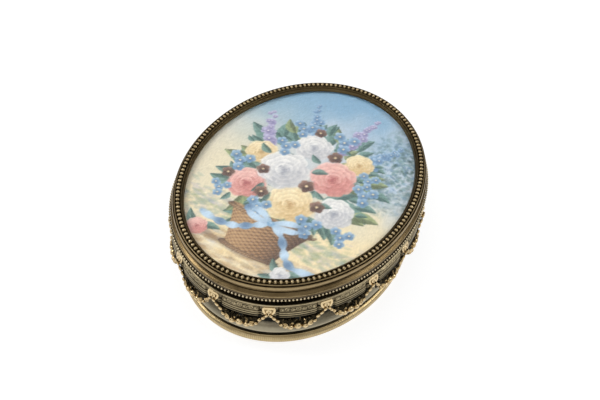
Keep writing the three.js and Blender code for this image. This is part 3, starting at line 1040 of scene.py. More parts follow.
class Finishes:
    """Every material of the box."""

    @cached_property
    def antique_gilt(self) -> Material:
        """Worn gilding of the lid's mouldings, with a painted highlight on their most open crests."""
        return MetalFinish(
            "antique_gilt", crest=(0.315, 0.234, 0.122), worn=(0.17, 0.119, 0.056),
            cloud=(0.115, 0.079, 0.036), dark=(0.045, 0.030, 0.012), gloss=(0.30, 0.5), patina=(0.24, 0.52),
            worn_and_highlit=0.08, break_up=0.16, lines=0.03,
        ).build()

    @cached_property
    def base_gilt(self) -> Material:
        """Brighter gilding of the base."""
        return MetalFinish(
            "base_gilt", crest=(0.57, 0.445, 0.25), worn=(0.44, 0.335, 0.17), cloud=(0.345, 0.255, 0.122),
            dark=(0.045, 0.030, 0.012), gloss=(0.36, 0.5), patina=(0.36, 0.62), worn_and_highlit=0.2, break_up=0.2,
            lines=0.03,
        ).build()

    @cached_property
    def bead_gilt(self) -> Material:
        """Gilding of the beaded wires, with a painted highlight on each crown and painted shade, in brown, in
        the gaps.
        """
        return MetalFinish(
            "bead_gilt", crest=(0.66, 0.54, 0.34), worn=(0.44, 0.335, 0.18), cloud=(0.33, 0.24, 0.12),
            dark=(0.120, 0.082, 0.034), gloss=(0.28, 0.5), patina=(0.34, 0.66), worn_and_highlit=0.22, break_up=0.2,
        ).build()

    @cached_property
    def pearl_gilt(self) -> Material:
        """Pale gilding of the fine pearl edge."""
        return MetalFinish(
            "pearl_gilt", crest=(0.68, 0.595, 0.42), worn=(0.52, 0.42, 0.25), cloud=(0.41, 0.32, 0.182),
            dark=(0.030, 0.020, 0.008), gloss=(0.28, 0.5), patina=(0.40, 0.72), worn_and_highlit=0.3, break_up=0.12,
        ).build()

    @cached_property
    def bezel_gilt(self) -> Material:
        """Dull gilding of the ring that holds the glass, darkened further as painted shade round the picture.
        """
        return MetalFinish(
            "bezel_gilt", crest=(0.13, 0.092, 0.042), worn=(0.07, 0.048, 0.021), cloud=(0.05, 0.033, 0.014),
            dark=(0.035, 0.023, 0.010), gloss=(0.34, 0.5), patina=(0.3, 0.6), worn_and_highlit=0.16, break_up=0.2,
            lines=0.02,
        ).build()

    @cached_property
    def bright_gilt(self) -> Material:
        """Pale bright gilding of the castings."""
        return MetalFinish(
            "bright_gilt", crest=(0.72, 0.56, 0.32), worn=(0.55, 0.40, 0.195), cloud=(0.40, 0.275, 0.12),
            dark=(0.028, 0.022, 0.012), gloss=(0.26, 0.5), patina=(0.40, 0.68), worn_and_highlit=0.26, break_up=0.16,
            fine=0.03, dents=0.05,
        ).build()

    @cached_property
    def pale_silver(self) -> Material:
        """Greyed silver of the frieze and the cornice."""
        return MetalFinish(
            "pale_silver", crest=(0.44, 0.36, 0.215), worn=(0.21, 0.168, 0.096), cloud=(0.13, 0.105, 0.06),
            dark=(0.022, 0.020, 0.013), gloss=(0.32, 0.5), patina=(0.28, 0.62), worn_and_highlit=0.16, break_up=0.26,
            fine=0.03,
        ).build()

    @cached_property
    def dark_silver(self) -> Material:
        """Silver of the wall and the neck: near black in their hollows, where painted shade is laid over the
        patina, and pale on the wall's foot.
        """
        return MetalFinish(
            "dark_silver", crest=(0.41, 0.365, 0.258), worn=(0.32, 0.28, 0.19), cloud=(0.24, 0.205, 0.14),
            dark=(0.008, 0.009, 0.008), gloss=(0.40, 0.42), patina=(0.20, 0.42), worn_and_highlit=0.1, break_up=0.1,
            lines=0.02,
        ).build()

    @cached_property
    def rose_velvet(self) -> Material:
        """Velvet inside the box."""
        return ClothFinish(
            "rose_velvet", lit=(0.26, 0.045, 0.065), shaded=(0.10, 0.014, 0.024), roughness=0.95, sheen=0.7,
            sheen_tint=(0.9, 0.5, 0.55), threads=5200.0, patches=130.0, relief=0.12,
        ).build()

    @cached_property
    def cream_silk(self) -> Material:
        """Silk inside the lid."""
        return ClothFinish(
            "cream_silk", lit=(0.74, 0.66, 0.50), shaded=(0.60, 0.52, 0.37), roughness=0.5, sheen=0.35,
            sheen_tint=(1.0, 0.95, 0.85), threads=6500.0, patches=90.0, relief=0.05,
        ).build()

    @cached_property
    def grey_card(self) -> Material:
        """Card behind the picture."""
        return ClothFinish(
            "grey_card", lit=(0.30, 0.27, 0.22), shaded=(0.22, 0.20, 0.16), roughness=0.9, sheen=0.0,
            sheen_tint=(1.0, 1.0, 1.0), threads=3000.0, patches=200.0, relief=0.03,
        ).build()

    @cached_property
    def clear_glass(self) -> Material:
        """Thin clear glass, which lets lamp light through to the picture."""
        material, bench = new_material("clear_glass")
        smears = bench.span(bench.noise(bench.object_places(), 60.0), 0.35, 0.75, 0.015, 0.05)
        glass = bench.add("ShaderNodeBsdfPrincipled", {
            "Base Color": (1.0, 1.0, 1.0), "Roughness": smears, "IOR": 1.46, "Transmission Weight": 1.0,
        })
        clear = bench.add("ShaderNodeBsdfTransparent", {"Color": (0.96, 0.97, 0.96)})
        path = bench.add("ShaderNodeLightPath")
        mixed = bench.add("ShaderNodeMixShader", {
            0: path.outputs["Is Shadow Ray"], 1: glass.outputs[0], 2: clear.outputs[0],
        })
        bench.surface(mixed)
        return material

    @cached_property
    def painted_panel(self) -> Material:
        """Water-colour on a pale ground, with the grain of fine brush strokes."""
        material, bench = new_material("painted_panel")
        places = bench.object_places()
        turned = bench.add("ShaderNodeMapping", {
            "Vector": places, "Rotation": (0.0, 0.0, 0.7), "Scale": (2600.0, 700.0, 1.0),
        })
        strokes = bench.noise(turned.outputs[0], 1.0, 2.0)
        tone = bench.span(strokes, 0.3, 0.7, 0.93, 1.05)
        grey = bench.add("ShaderNodeCombineColor", {0: tone, 1: tone, 2: tone})
        colour = bench.mix(1.0, bench.attribute(PAINT, "Color"), grey.outputs[0], "MULTIPLY")
        shader = bench.add("ShaderNodeBsdfPrincipled", {
            "Base Color": colour, "Roughness": bench.span(strokes, 0.2, 0.8, 0.42, 0.6),
            "Normal": bench.bump(0.4, 0.03 * MM, strokes),
        })
        bench.surface(shader)
        return material


@dataclass(frozen=True)
class Levels:
    """Heights where the courses of the box meet.

    Attributes:
        floor: Top of the bottom plate.
        base_top: Top of the base moulding.
        wall_top: Top of the wall.
        frieze_top: Top of the frieze.
        cornice_top: Top of the cornice.
        lip_top: Top of the lip that enters the lid.
        lid_bottom: Underside of the lid.
        bead_line: Middle of the beaded border.
        glass_edge: Top of the glass where the bezel holds it.
        glass_crown: Top of the glass in its middle.
        picture_top: Face of the picture.
    """

    floor: float
    base_top: float
    wall_top: float
    frieze_top: float
    cornice_top: float
    lip_top: float
    lid_bottom: float
    bead_line: float
    glass_edge: float
    glass_crown: float
    picture_top: float

    @classmethod
    def from_frame(cls) -> Levels:
        """Reads the heights from the nodes."""
        return cls(
            floor=high("bottom_plate").z,
            base_top=high("base_moulding").z,
            wall_top=high("body_wall").z,
            frieze_top=high("frieze_band").z,
            cornice_top=high("cornice_ring").z,
            lip_top=high("neck_ring").z,
            lid_bottom=low("lid_rim").z,
            bead_line=(low("bead_border").z + high("bead_border").z) / 2,
            glass_edge=low("glass_bezel").z,
            glass_crown=high("glass_cover").z,
            picture_top=high("picture_panel").z,
        )


@dataclass
class Plinth:
    """The round base moulding and the plate that closes the bottom.

    Attributes:
        levels: Heights of the courses.
        inside: Outset of the moulding's inner face.
        nose: Outset of the round's outermost point.
        radius: Radius of the round.
        fillet: Outset of the narrow fillet on top.
        fillet_height: Height of that fillet.
        stroke_pitch: Spacing of the fine strokes cut across the round.
        stroke_depth: Their depth.
    """

    levels: Levels
    inside: float = -3.1
    nose: float = 0.7
    radius: float = 1.4
    fillet: float = -0.2
    fillet_height: float = 0.4
    stroke_pitch: float = 0.62
    stroke_depth: float = 0.016

    def section(self) -> Section:
        """Outline of the moulding."""
        middle = self.nose - self.radius
        quirk = self.levels.base_top - self.fillet_height
        outline = Section(self.inside, 0.0)
        outline.arc((middle, self.radius), self.radius, -90.0, 58.0, steps=18)
        outline.lines(
            (self.fillet - 0.15, quirk - 0.05), (self.fillet, quirk + 0.08),
            (self.fillet, self.levels.base_top), (self.inside, self.levels.base_top),
        )
        return outline.eased(0.1)

    def strokes(self, along: Array, outset: Array, height: Array) -> tuple[Array, Array]:
        """Fine slanting strokes across the round.

        Args:
            along: Distance round the oval.
            outset: Outset of each vertex.
            height: Height of each vertex.

        Returns:
            Extra outset and extra hollow.
        """
        on_round = ease(-1.2, -0.2, outset) * ease(0.2, 0.8, height) * ease(2.7, 2.2, height)
        wave = np.sin(TURN * (along / self.stroke_pitch + height * 0.35))
        depth = on_round * self.stroke_depth * (wave - 1.0)
        return depth, on_round * (0.08 - 0.08 * wave)

    def build(self, lathe: OvalLathe, finishes: Finishes) -> None:
        """Makes the moulding and dresses the bottom plate."""
        ring = lathe.ring("base_ring", self.section(), STROKED_COLUMNS, self.strokes)
        hand_over(ring, Body.BOX, ["base_moulding"], finishes.base_gilt)
        dress_node("bottom_plate", finishes.base_gilt)


@dataclass
class Wall:
    """The drawn wall with its groove, sloping foot and deep hollow, and the tube inside it.

    Attributes:
        levels: Heights of the courses.
        inside: Outset of the wall's inner face.
        groove: Outset of the dark groove above the base.
        groove_height: Height of that groove.
        foot: Outset of the foot's edge.
        foot_edge: Height of the foot's edge.
        foot_rise: Height of the slope.
        hollow: How far in the deepest part lies.
        top: Outset at the top.
        top_edge: Height of the top's edge.
        shell: Outsets of the tube's two faces.
    """

    levels: Levels
    inside: float = -3.1
    groove: float = -0.7
    groove_height: float = 2.0
    foot: float = 0.0
    foot_edge: float = 0.4
    foot_rise: float = 2.4
    hollow: float = 2.3
    top: float = 1.8
    top_edge: float = 0.3
    shell: Pair = (-4.2, -3.3)

    @property
    def foot_top(self) -> float:
        """Height where the slope ends and the hollow begins."""
        return self.levels.base_top + self.groove_height + self.foot_edge + self.foot_rise

    def section(self) -> Section:
        """Outline of the wall."""
        base = self.levels.base_top
        groove_top = base + self.groove_height
        foot_top = self.foot_top
        edge = self.levels.wall_top - self.top_edge
        rise = edge - foot_top
        outline = Section(self.inside, base).lines(
            (self.groove, base), (self.groove, groove_top), (self.foot, groove_top),
            (self.foot, groove_top + self.foot_edge),
        )
        outline.curve(
            (self.foot - 0.3 * self.hollow, groove_top + self.foot_edge + 0.5 * self.foot_rise),
            (self.foot - 0.75 * self.hollow, foot_top - 0.4 * self.foot_rise),
            (-self.hollow, foot_top),
        )
        outline.curve(
            (-self.hollow, foot_top + rise / 2), (-self.hollow, edge - rise / 4), (self.top, edge), steps=18
        )
        outline.lines((self.top, self.levels.wall_top), (self.inside, self.levels.wall_top))
        return outline.eased(0.1)

    def painted_cove_shade(self, along: Array, outset: Array, height: Array) -> tuple[Array, Array]:
        """Painted shade in the deep hollow above the foot, laid over its patina.

        Args:
            along: Distance round the oval.
            outset: Outset of each vertex; not used.
            height: Height of each vertex.

        Returns:
            No extra outset, and the extra hollow.
        """
        return np.zeros_like(along), 0.7 * ease(self.foot_top - 2.0, self.foot_top + 2.2, height)

    def shell_section(self) -> Section:
        """Outline of the tube that the courses are soldered on."""
        return Section.block(*self.shell, self.levels.floor, self.levels.lip_top).eased(0.15)

    def build(self, lathe: OvalLathe, finishes: Finishes) -> None:
        """Makes the wall and the tube."""
        wall = lathe.ring("side_wall", self.section(), PLAIN_COLUMNS, self.painted_cove_shade)
        hand_over(wall, Body.BOX, ["body_wall"], finishes.dark_silver)
        tube = lathe.ring("inner_tube", self.shell_section(), HIDDEN_COLUMNS)
        hand_over(tube, Body.BOX, ["inner_shell"], finishes.antique_gilt)


@dataclass
class Spacing:
    """How the brackets and garlands share the way round.

    Attributes:
        perimeter: The whole way round.
        count: Number of brackets.
        phase: Place of the first bracket, in shares of the spacing.
    """

    perimeter: float
    count: int = 16
    phase: float = -0.16

    @property
    def pitch(self) -> float:
        """Distance from one bracket to the next."""
        return self.perimeter / self.count

    def bracket(self, index: float) -> float:
        """Distance along the oval of a bracket, or of a place between two."""
        return (index + self.phase) * self.pitch

    def from_bracket(self, along: Array) -> Array:
        """Distance from the nearest bracket's middle."""
        steps = along / self.pitch - self.phase
        return np.abs(steps - np.round(steps)) * self.pitch


@dataclass
class Frieze:
    """The chased frieze with a bay behind each bracket, and the cornice on it.

    Attributes:
        levels: Heights of the courses.
        spacing: Places of the brackets.
        inside: Outset of the inner face.
        face: Outset of the panels.
        bay_depth: Depth of the bay on each side of a bracket.
        bay_place: Distance of that bay from the bracket's middle.
        bay_width: Half the bay's length.
        ramp: Length over which a panel's end turns in.
        reeds: Number of fine reeds along the bottom.
        reed_height: Height of all reeds together.
        bow: How far a panel's middle bows out.
        swell: How far its middle height swells.
        chasing: Height of the chased scrolls.
        scrolls: Middle of each scroll from the panel's middle and from its middle height, and its turn.
        scroll_radius: Reach of a scroll.
        scroll_pitch: Distance between a scroll's turns.
        cornice: Outset of the cornice.
        cornice_inside: Outset of the cornice's inner face.
        rows: Steps up a panel's face.
        darkened_height: Height over which the lowest reeds darken.
    """

    levels: Levels
    spacing: Spacing
    inside: float = 0.2
    face: float = 2.2
    bay_depth: float = 0.35
    bay_place: float = 2.35
    bay_width: float = 0.45
    ramp: float = 0.8
    reeds: int = 3
    reed_height: float = 2.85
    bow: float = 0.1
    swell: float = 0.14
    chasing: float = 0.26
    scrolls: tuple[tuple[float, float, int], ...] = (
        (0.0, 0.1, 1), (1.5, -0.1, -1), (3.0, 0.1, 1), (4.5, -0.1, -1),
    )
    scroll_radius: float = 0.95
    scroll_pitch: float = 0.66
    cornice: float = 2.5
    cornice_inside: float = -3.1
    rows: int = 24
    darkened_height: float = 1.7

    def section(self) -> Section:
        """Outline of the frieze at a panel."""
        wall_top = self.levels.wall_top
        reed = self.reed_height / self.reeds
        outline = Section(self.inside, wall_top)
        for index in range(self.reeds):
            outline.arc((self.face, wall_top + reed * (index + 0.5)), reed / 2, -90.0, 90.0, steps=6)
        start = wall_top + self.reed_height
        for row in range(1, self.rows + 1):
            outline.lines((self.face, start + (self.levels.frieze_top - start) * row / self.rows))
        return outline.lines((self.inside, self.levels.frieze_top))

    def cornice_section(self) -> Section:
        """Outline of the cornice: a thin ledge with a round nose."""
        bottom = self.levels.frieze_top
        top = self.levels.cornice_top
        nose = (top - bottom) / 2
        outline = Section(self.cornice_inside, bottom)
        outline.arc((self.cornice - nose, bottom + nose), nose, -90.0, 90.0, steps=10)
        return outline.lines((self.cornice_inside, top))

    def chased(self, along: Array, outset: Array, height: Array) -> tuple[Array, Array]:
        """Bays, bowed panels and the scrolls chased on them.

        Args:
            along: Distance round the oval.
            outset: Outset of each vertex.
            height: Height of each vertex.

        Returns:
            Extra outset and extra hollow.
        """
        outer = ease(self.inside + 0.5, self.face - 0.5, outset)
        gap = self.spacing.from_bracket(along)
        panel = ease(self.bay_place, self.bay_place + self.ramp, gap)
        bay = ridge(self.bay_width, gap - self.bay_place)
        from_middle = self.spacing.pitch / 2 - gap
        half_panel = self.spacing.pitch / 2 - self.bay_place - self.ramp
        start = self.levels.wall_top + self.reed_height
        half_height = (self.levels.frieze_top - start) / 2
        level = height - start - half_height
        on_face = ease(start, start + 0.25, height)
        bowed = self.bow * np.clip(1.0 - np.square(from_middle / half_panel), 0.0, 1.0)
        swollen = self.swell * np.clip(1.0 - np.square(level / half_height), 0.0, 1.0) * on_face
        relief = np.zeros_like(along)
        for place, lift, sense in self.scrolls:
            across = from_middle - place
            up = level - lift
            reach = np.hypot(across, up)
            winding = np.cos(sense * np.arctan2(up, across) - TURN * reach / self.scroll_pitch)
            relief = np.maximum(
                relief, np.clip(winding + 0.15, 0.0, 1.0) * ease(self.scroll_radius, 0.6, reach)
            )
            relief = np.maximum(relief, ridge(0.22, reach))
        stem = level - 0.6 * np.cos(TURN * from_middle / 3.0)
        relief = np.maximum(relief, 0.8 * ridge(0.16, stem))
        border = ridge(0.14, np.abs(level) - half_height + 0.2)
        relief = np.clip(np.maximum(relief, border), 0.0, 1.0) * on_face * panel
        raised = panel * (bowed + swollen) + self.chasing * relief
        # Each reed gets a painted highlight a little above its middle and darker grooves between the reeds;
        # the lowest reeds grow darker towards the bottom.
        reed = (height - self.levels.wall_top) * self.reeds / self.reed_height
        crest = ridge(0.24, reed - np.floor(reed) - 0.58)
        lower_darkening = 0.5 * ease(self.levels.wall_top + self.darkened_height, self.levels.wall_top, height)
        reeded = (1.0 - on_face) * (0.46 - 0.6 * crest + lower_darkening)
        chased = on_face * panel * (0.52 - 0.8 * relief)
        return outer * (raised - self.bay_depth * bay), outer * (0.3 * bay + reeded + chased)

    def build(self, lathe: OvalLathe, finishes: Finishes) -> None:
        """Makes the frieze and the cornice."""
        band = lathe.ring("frieze_relief", self.section(), CHASED_COLUMNS, self.chased)
        hand_over(band, Body.BOX, ["frieze_band"], finishes.pale_silver)
        ledge = lathe.ring("cornice_ledge", self.cornice_section(), PLAIN_COLUMNS)
        hand_over(ledge, Body.BOX, ["cornice_ring"], finishes.pale_silver)


@dataclass
class Neck:
    """The recessed neck below the lid, with the lip that enters it.

    Attributes:
        levels: Heights of the courses.
        inside: Outset of the inner face.
        outside: Outset of the neck's face.
        lip: Outset of the lip's face.
        lip_height: Height of the lip above the neck.
        hinge_room: Half the length left open for the hinge.
    """

    levels: Levels
    inside: float = -3.1
    outside: float = 0.9
    lip: float = -1.65
    lip_height: float = 0.75
    hinge_room: float = 7.4

    def section(self) -> Section:
        """Outline of the neck's outer part."""
        top = self.levels.lip_top - self.lip_height
        return Section.block(self.lip, self.outside, self.levels.cornice_top, top).eased(0.12)

    def lip_section(self) -> Section:
        """Outline of the lip."""
        levels = self.levels
        return Section.block(self.inside, self.lip, levels.cornice_top, levels.lip_top).eased(0.15)

    def build(self, lathe: OvalLathe, finishes: Finishes) -> None:
        """Makes the neck, open at the hinge, and its lip, which goes all the way round."""
        neck = lathe.ring("neck_band", self.section(), NECK_COLUMNS, opening=self.hinge_room)
        lip = lathe.ring("neck_lip", self.lip_section(), NECK_COLUMNS)
        # The neck's near-black silver paints the shade under the lid, on top of its patina.
        hand_over(neck, Body.BOX, ["neck_ring"], finishes.dark_silver)
        hand_over(lip, Body.BOX, [], finishes.dark_silver)


@dataclass
class LidFrame:
    """The lid's moulded ring, its two beaded wires, the bezel and the plate behind.

    Attributes:
        levels: Heights of the courses.
        bore: Outset of the ring's inner face.
        pearl_seat: Outset of the seat that the fine pearls lie against.
        pearl_radius: Radius of the fine pearls.
        pearl_count: Number of fine pearls.
        fit: Clearance between the pieces.
        ogee: Outset of the lower moulding.
        ogee_height: Height of that moulding.
        cove: Outset of the dark cove above it.
        rim: Outset of the upper edge.
        rim_height: Height of the upper edge.
        rim_drop: How far its top lies below the bead line.
        fillet: Outsets of the thin line outside the beads.
        fillet_rise: Height of that line over the bead line.
        bead_count: Number of beads.
        bead_radius: Radius of the room that the channel leaves for the beads.
        bezel: Outsets of the bezel's outer and inner edge.
        bezel_line: Width of the thin line on top of the bezel.
        bezel_rise: Height of that line over the bead line.
        bezel_lip: Outset of the slope's lower end, and its height over the bead line.
    """

    levels: Levels
    bore: float = -1.2
    pearl_seat: float = 2.1
    pearl_radius: float = 0.45
    pearl_count: int = 253
    fit: float = 0.2
    ogee: float = 2.45
    ogee_height: float = 1.15
    cove: float = 0.85
    rim: float = 1.75
    rim_height: float = 1.25
    rim_drop: float = 0.45
    fillet: Pair = (0.84, 1.2)
    fillet_rise: float = 0.1
    bead_count: int = 163
    bead_radius: float = 0.72
    bezel: Pair = (-0.86, -1.95)
    bezel_line: float = 0.26
    bezel_rise: float = 0.1
    bezel_lip: Pair = (-1.6, -0.4)

    @property
    def channel(self) -> float:
        """Height of the floor that the beaded wire lies on."""
        return self.levels.bead_line - self.bead_radius - self.fit

    def section(self) -> Section:
        """Outline of the moulded ring."""
        bottom = self.levels.lid_bottom
        seat_top = bottom + 2 * self.pearl_radius + self.fit
        ogee_top = seat_top + self.ogee_height
        rim_top = self.levels.bead_line - self.rim_drop
        rim_foot = rim_top - self.rim_height
        line_top = self.levels.bead_line + self.fillet_rise
        fillet_inner, fillet_outer = self.fillet
        outline = Section(self.bore, bottom).lines(
            (self.pearl_seat, bottom), (self.pearl_seat, seat_top), (self.ogee, seat_top),
            (self.ogee, seat_top + 0.25),
        )
        outline.curve(
            (self.ogee - 0.05, seat_top + 0.8), (self.cove + 0.75, ogee_top - 0.45),
            (self.cove + 0.5, ogee_top),
        )
        outline.lines((self.cove + 0.2, ogee_top + 0.05))
        outline.curve(
            (self.cove - 0.2, ogee_top + 0.35), (self.cove - 0.1, rim_foot - 0.1),
            (self.rim - 0.2, rim_foot),
        )
        outline.lines((self.rim, rim_foot + 0.12))
        outline.curve(
            (self.rim + 0.08, rim_foot + 0.6), (self.rim + 0.02, rim_top - 0.05),
            (self.rim - 0.25, rim_top),
        )
        outline.lines(
            (fillet_outer + 0.14, rim_top - 0.35), (fillet_outer, rim_top - 0.3), (fillet_outer, line_top),
            (fillet_inner, line_top), (fillet_inner, self.channel), (self.bore, self.channel),
        )
        return outline.eased(0.1)

    def bezel_section(self) -> Section:
        """Outline of the bezel: a thin upright line, then a slope down to the glass."""
        outer, sight = self.bezel
        line_top = self.levels.bead_line + self.bezel_rise
        glass = self.levels.glass_edge
        tongue = self.bore - self.fit
        lip, lip_rise = self.bezel_lip
        lip_top = self.levels.bead_line + lip_rise
        inner = outer - self.bezel_line
        outline = Section(tongue, glass).lines(
            (tongue, self.channel), (outer, self.channel), (outer, line_top), (inner, line_top),
            (inner - 0.1, line_top - 0.25),
        )
        outline.curve((inner - 0.2, lip_top - 0.1), (lip + 0.25, lip_top + 0.1), (lip, lip_top))
        outline.curve((lip - 0.15, lip_top - 0.4), (sight + 0.1, glass + 0.6), (sight, glass + 0.05))
        return outline.eased(0.08)

    def bead_course(self) -> BeadCourse:
        """Sizes of the beaded border."""
        return BeadCourse(
            count=self.bead_count, outset=0.0, height=self.levels.bead_line, along=0.6, out=0.68,
            up=0.68, wire=0.46, shade_level=0.36, shade_slope=0.36,
        )

    def pearl_course(self) -> BeadCourse:
        """Sizes of the fine pearl edge."""
        return BeadCourse(
            count=self.pearl_count, outset=self.pearl_seat + self.fit + self.pearl_radius,
            height=self.levels.lid_bottom + self.pearl_radius + 0.05, along=0.4, out=0.36, up=0.36, wire=0.16,
            shade_level=0.26, shade_slope=0.4,
        )

    @staticmethod
    def wire_section(course: BeadCourse) -> Section:
        """Outline that stands for a beaded wire when shade is worked out."""
        outline = Section(course.outset + 0.8 * course.out, course.height)
        return outline.arc((course.outset, course.height), 0.8 * course.out, 30.0, 330.0, steps=10)

    def build(self, lathe: OvalLathe, finishes: Finishes) -> None:
        """Makes the lid's metal."""
        ring = lathe.ring("lid_moulding", self.section(), PLAIN_COLUMNS)
        hand_over(ring, Body.LID, ["lid_rim"], finishes.antique_gilt)
        bezel = lathe.ring("bezel_slope", self.bezel_section(), PLAIN_COLUMNS)
        hand_over(bezel, Body.LID, ["glass_bezel"], finishes.bezel_gilt)
        beads = lathe.beads("beaded_wire", self.bead_course())
        hand_over(beads, Body.LID, ["bead_border"], finishes.bead_gilt)
        pearls = lathe.beads("pearled_wire", self.pearl_course())
        hand_over(pearls, Body.LID, ["pearl_edge"], finishes.pearl_gilt)
        dress_node("lid_back_plate", finishes.antique_gilt)


def turn(
    bm: BMesh, outline: Sequence[Pair], matrix: Matrix, steps: int = 20, closed: bool = False
) -> list[BMVert]:
    """Turns an outline about the Z axis of a frame.

    Args:
        bm: Mesh to add to.
        outline: Rise along the axis and radius of each corner.
        matrix: The frame.
        steps: Steps on the way round.
        closed: Whether the outline closes on itself, as a tube's does.

    Returns:
        The new vertices.
    """
    known = set(bm.verts)
    verts = [bm.verts.new((radius, 0.0, rise)) for rise, radius in outline]
    ends = verts[1:] + verts[:1] if closed else verts[1:]
    edges = [bm.edges.new(pair) for pair in zip(verts, ends)]
    spin_round(bm, verts, edges, steps)
    bmesh.ops.remove_doubles(bm, verts=[vert for vert in bm.verts if vert not in known], dist=1e-5)
    made = [vert for vert in bm.verts if vert not in known]
    bmesh.ops.transform(bm, matrix=matrix, verts=made)
    return made


def slab(bm: BMesh, lowest: Vector, highest: Vector, edge: float) -> None:
    """Adds a plate with eased edges.

    Args:
        bm: Mesh to add to.
        lowest: Its lowest corner.
        highest: Its highest corner.
        edge: Size of the easing.
    """
    matrix = Matrix.Translation((lowest + highest) / 2) @ Matrix.Diagonal((*(highest - lowest), 1.0))
    made = bmesh.ops.create_cube(bm, size=1.0, matrix=matrix)
    edges = {item for vert in made["verts"] for item in vert.link_edges}
    bmesh.ops.bevel(
        bm, geom=list(edges), offset=edge, affect="EDGES", segments=2, profile=0.5, material=-1
    )


def darken_creases(bm: BMesh, level: float, strength: float) -> None:
    """Writes hollows from how far each vertex lies in a crease.

    Args:
        bm: Mesh with outward faces and a layer of hollows.
        level: Hollow of a flat place.
        strength: How much a crease adds and an edge takes away.
    """
    layer = bm.verts.layers.float[PATINA_AND_PAINTED_LIGHT]
    bm.normal_update()
    for vert in bm.verts:
        pulls = [
            vert.normal.dot((edge.other_vert(vert).co - vert.co).normalized()) for edge in vert.link_edges
        ]
        crease = sum(pulls) / max(1, len(pulls))
        vert[layer] = clamp(level + strength * crease)


@dataclass
class Hinge:
    """Two leaves with rolled knuckles on one pin.

    Attributes:
        width: Length of the hinge.
        knuckles: Number of knuckles.
        gap: Gap between two knuckles.
        radius: Radius of a knuckle.
        bore: Radius of its bore.
        pin: Radius of the pin.
        leaf: Thickness of a leaf.
        easing: Size of the eased edges.
    """

    width: float = 14.0
    knuckles: int = 5
    gap: float = 0.3
    radius: float = 1.05
    bore: float = 0.55
    pin: float = 0.45
    leaf: float = 0.6
    easing: float = 0.12

    @property
    def axis(self) -> Vector:
        """A point on the pin's middle line."""
        return (low("hinge_pin") + high("hinge_pin")) / 2

    def on_pin(self) -> Matrix:
        """A frame whose Z axis is the pin's middle line."""
        return Matrix.Translation(self.axis) @ Matrix.Rotation(math.pi / 2, 4, "Y")

    def leaf_piece(self, name: str, lowest: Vector, highest: Vector, first: int) -> Object:
        """A leaf with every other knuckle.

        Args:
            name: Name of the piece.
            lowest: Lowest corner of the flat leaf.
            highest: Highest corner of the flat leaf.
            first: Number of its first knuckle, from 0.

        Returns:
            The leaf.
        """
        bm = bmesh.new()
        pitch = self.width / self.knuckles
        slab(bm, lowest, highest, self.easing)
        for knuckle in range(first, self.knuckles, 2):
            start = -self.width / 2 + knuckle * pitch + self.gap / 2
            stop = start + pitch - self.gap
            tab_end = self.axis.y - 0.7 * self.radius
            slab(
                bm, Vector((start, highest.y - self.gap, lowest.z)), Vector((stop, tab_end, highest.z)),
                self.easing,
            )
            turn(bm, [
                (start, self.bore), (start, self.radius - self.easing), (start + self.easing, self.radius),
                (stop - self.easing, self.radius), (stop, self.radius - self.easing), (stop, self.bore),
            ], self.on_pin(), steps=32, closed=True)
        return self.finished(name, bm)

    @staticmethod
    def finished(name: str, bm: BMesh) -> Object:
        """A piece from a mesh in millimetres, with its faces turned outwards."""
        bmesh.ops.recalc_face_normals(bm, faces=bm.faces)
        bmesh.ops.scale(bm, vec=(MM, MM, MM), verts=bm.verts)
        piece = new_object(name, bm)
        shade(piece.data)
        return piece

    def build(self, finishes: Finishes) -> None:
        """Makes both leaves and the pin."""
        outer = self.axis.y - self.radius - self.gap
        lowest = low("body_hinge_leaf")
        highest = Vector((-lowest.x, outer, lowest.z + self.leaf))
        fixed = self.leaf_piece("hinge_leaf_fixed", lowest, highest, 0)
        hand_over(fixed, Body.BOX, ["body_hinge_leaf"], finishes.antique_gilt)
        highest = high("lid_hinge_leaf")
        lowest = Vector((-highest.x, low("lid_hinge_leaf").y, highest.z - self.leaf))
        highest.y = outer
        moving = self.leaf_piece("hinge_leaf_moving", lowest, highest, 1)
        hand_over(moving, Body.LID, ["lid_hinge_leaf"], finishes.antique_gilt)
        bm = bmesh.new()
        reach = high("hinge_pin").x
        turn(bm, [
            (-reach, 0.0), (-reach, self.pin - self.easing), (self.easing - reach, self.pin),
            (reach - self.easing, self.pin), (reach, self.pin - self.easing), (reach, 0.0),
        ], self.on_pin(), steps=24)
        rod = self.finished("hinge_rod", bm)
        hand_over(rod, Body.BOX, ["hinge_pin"], finishes.antique_gilt)


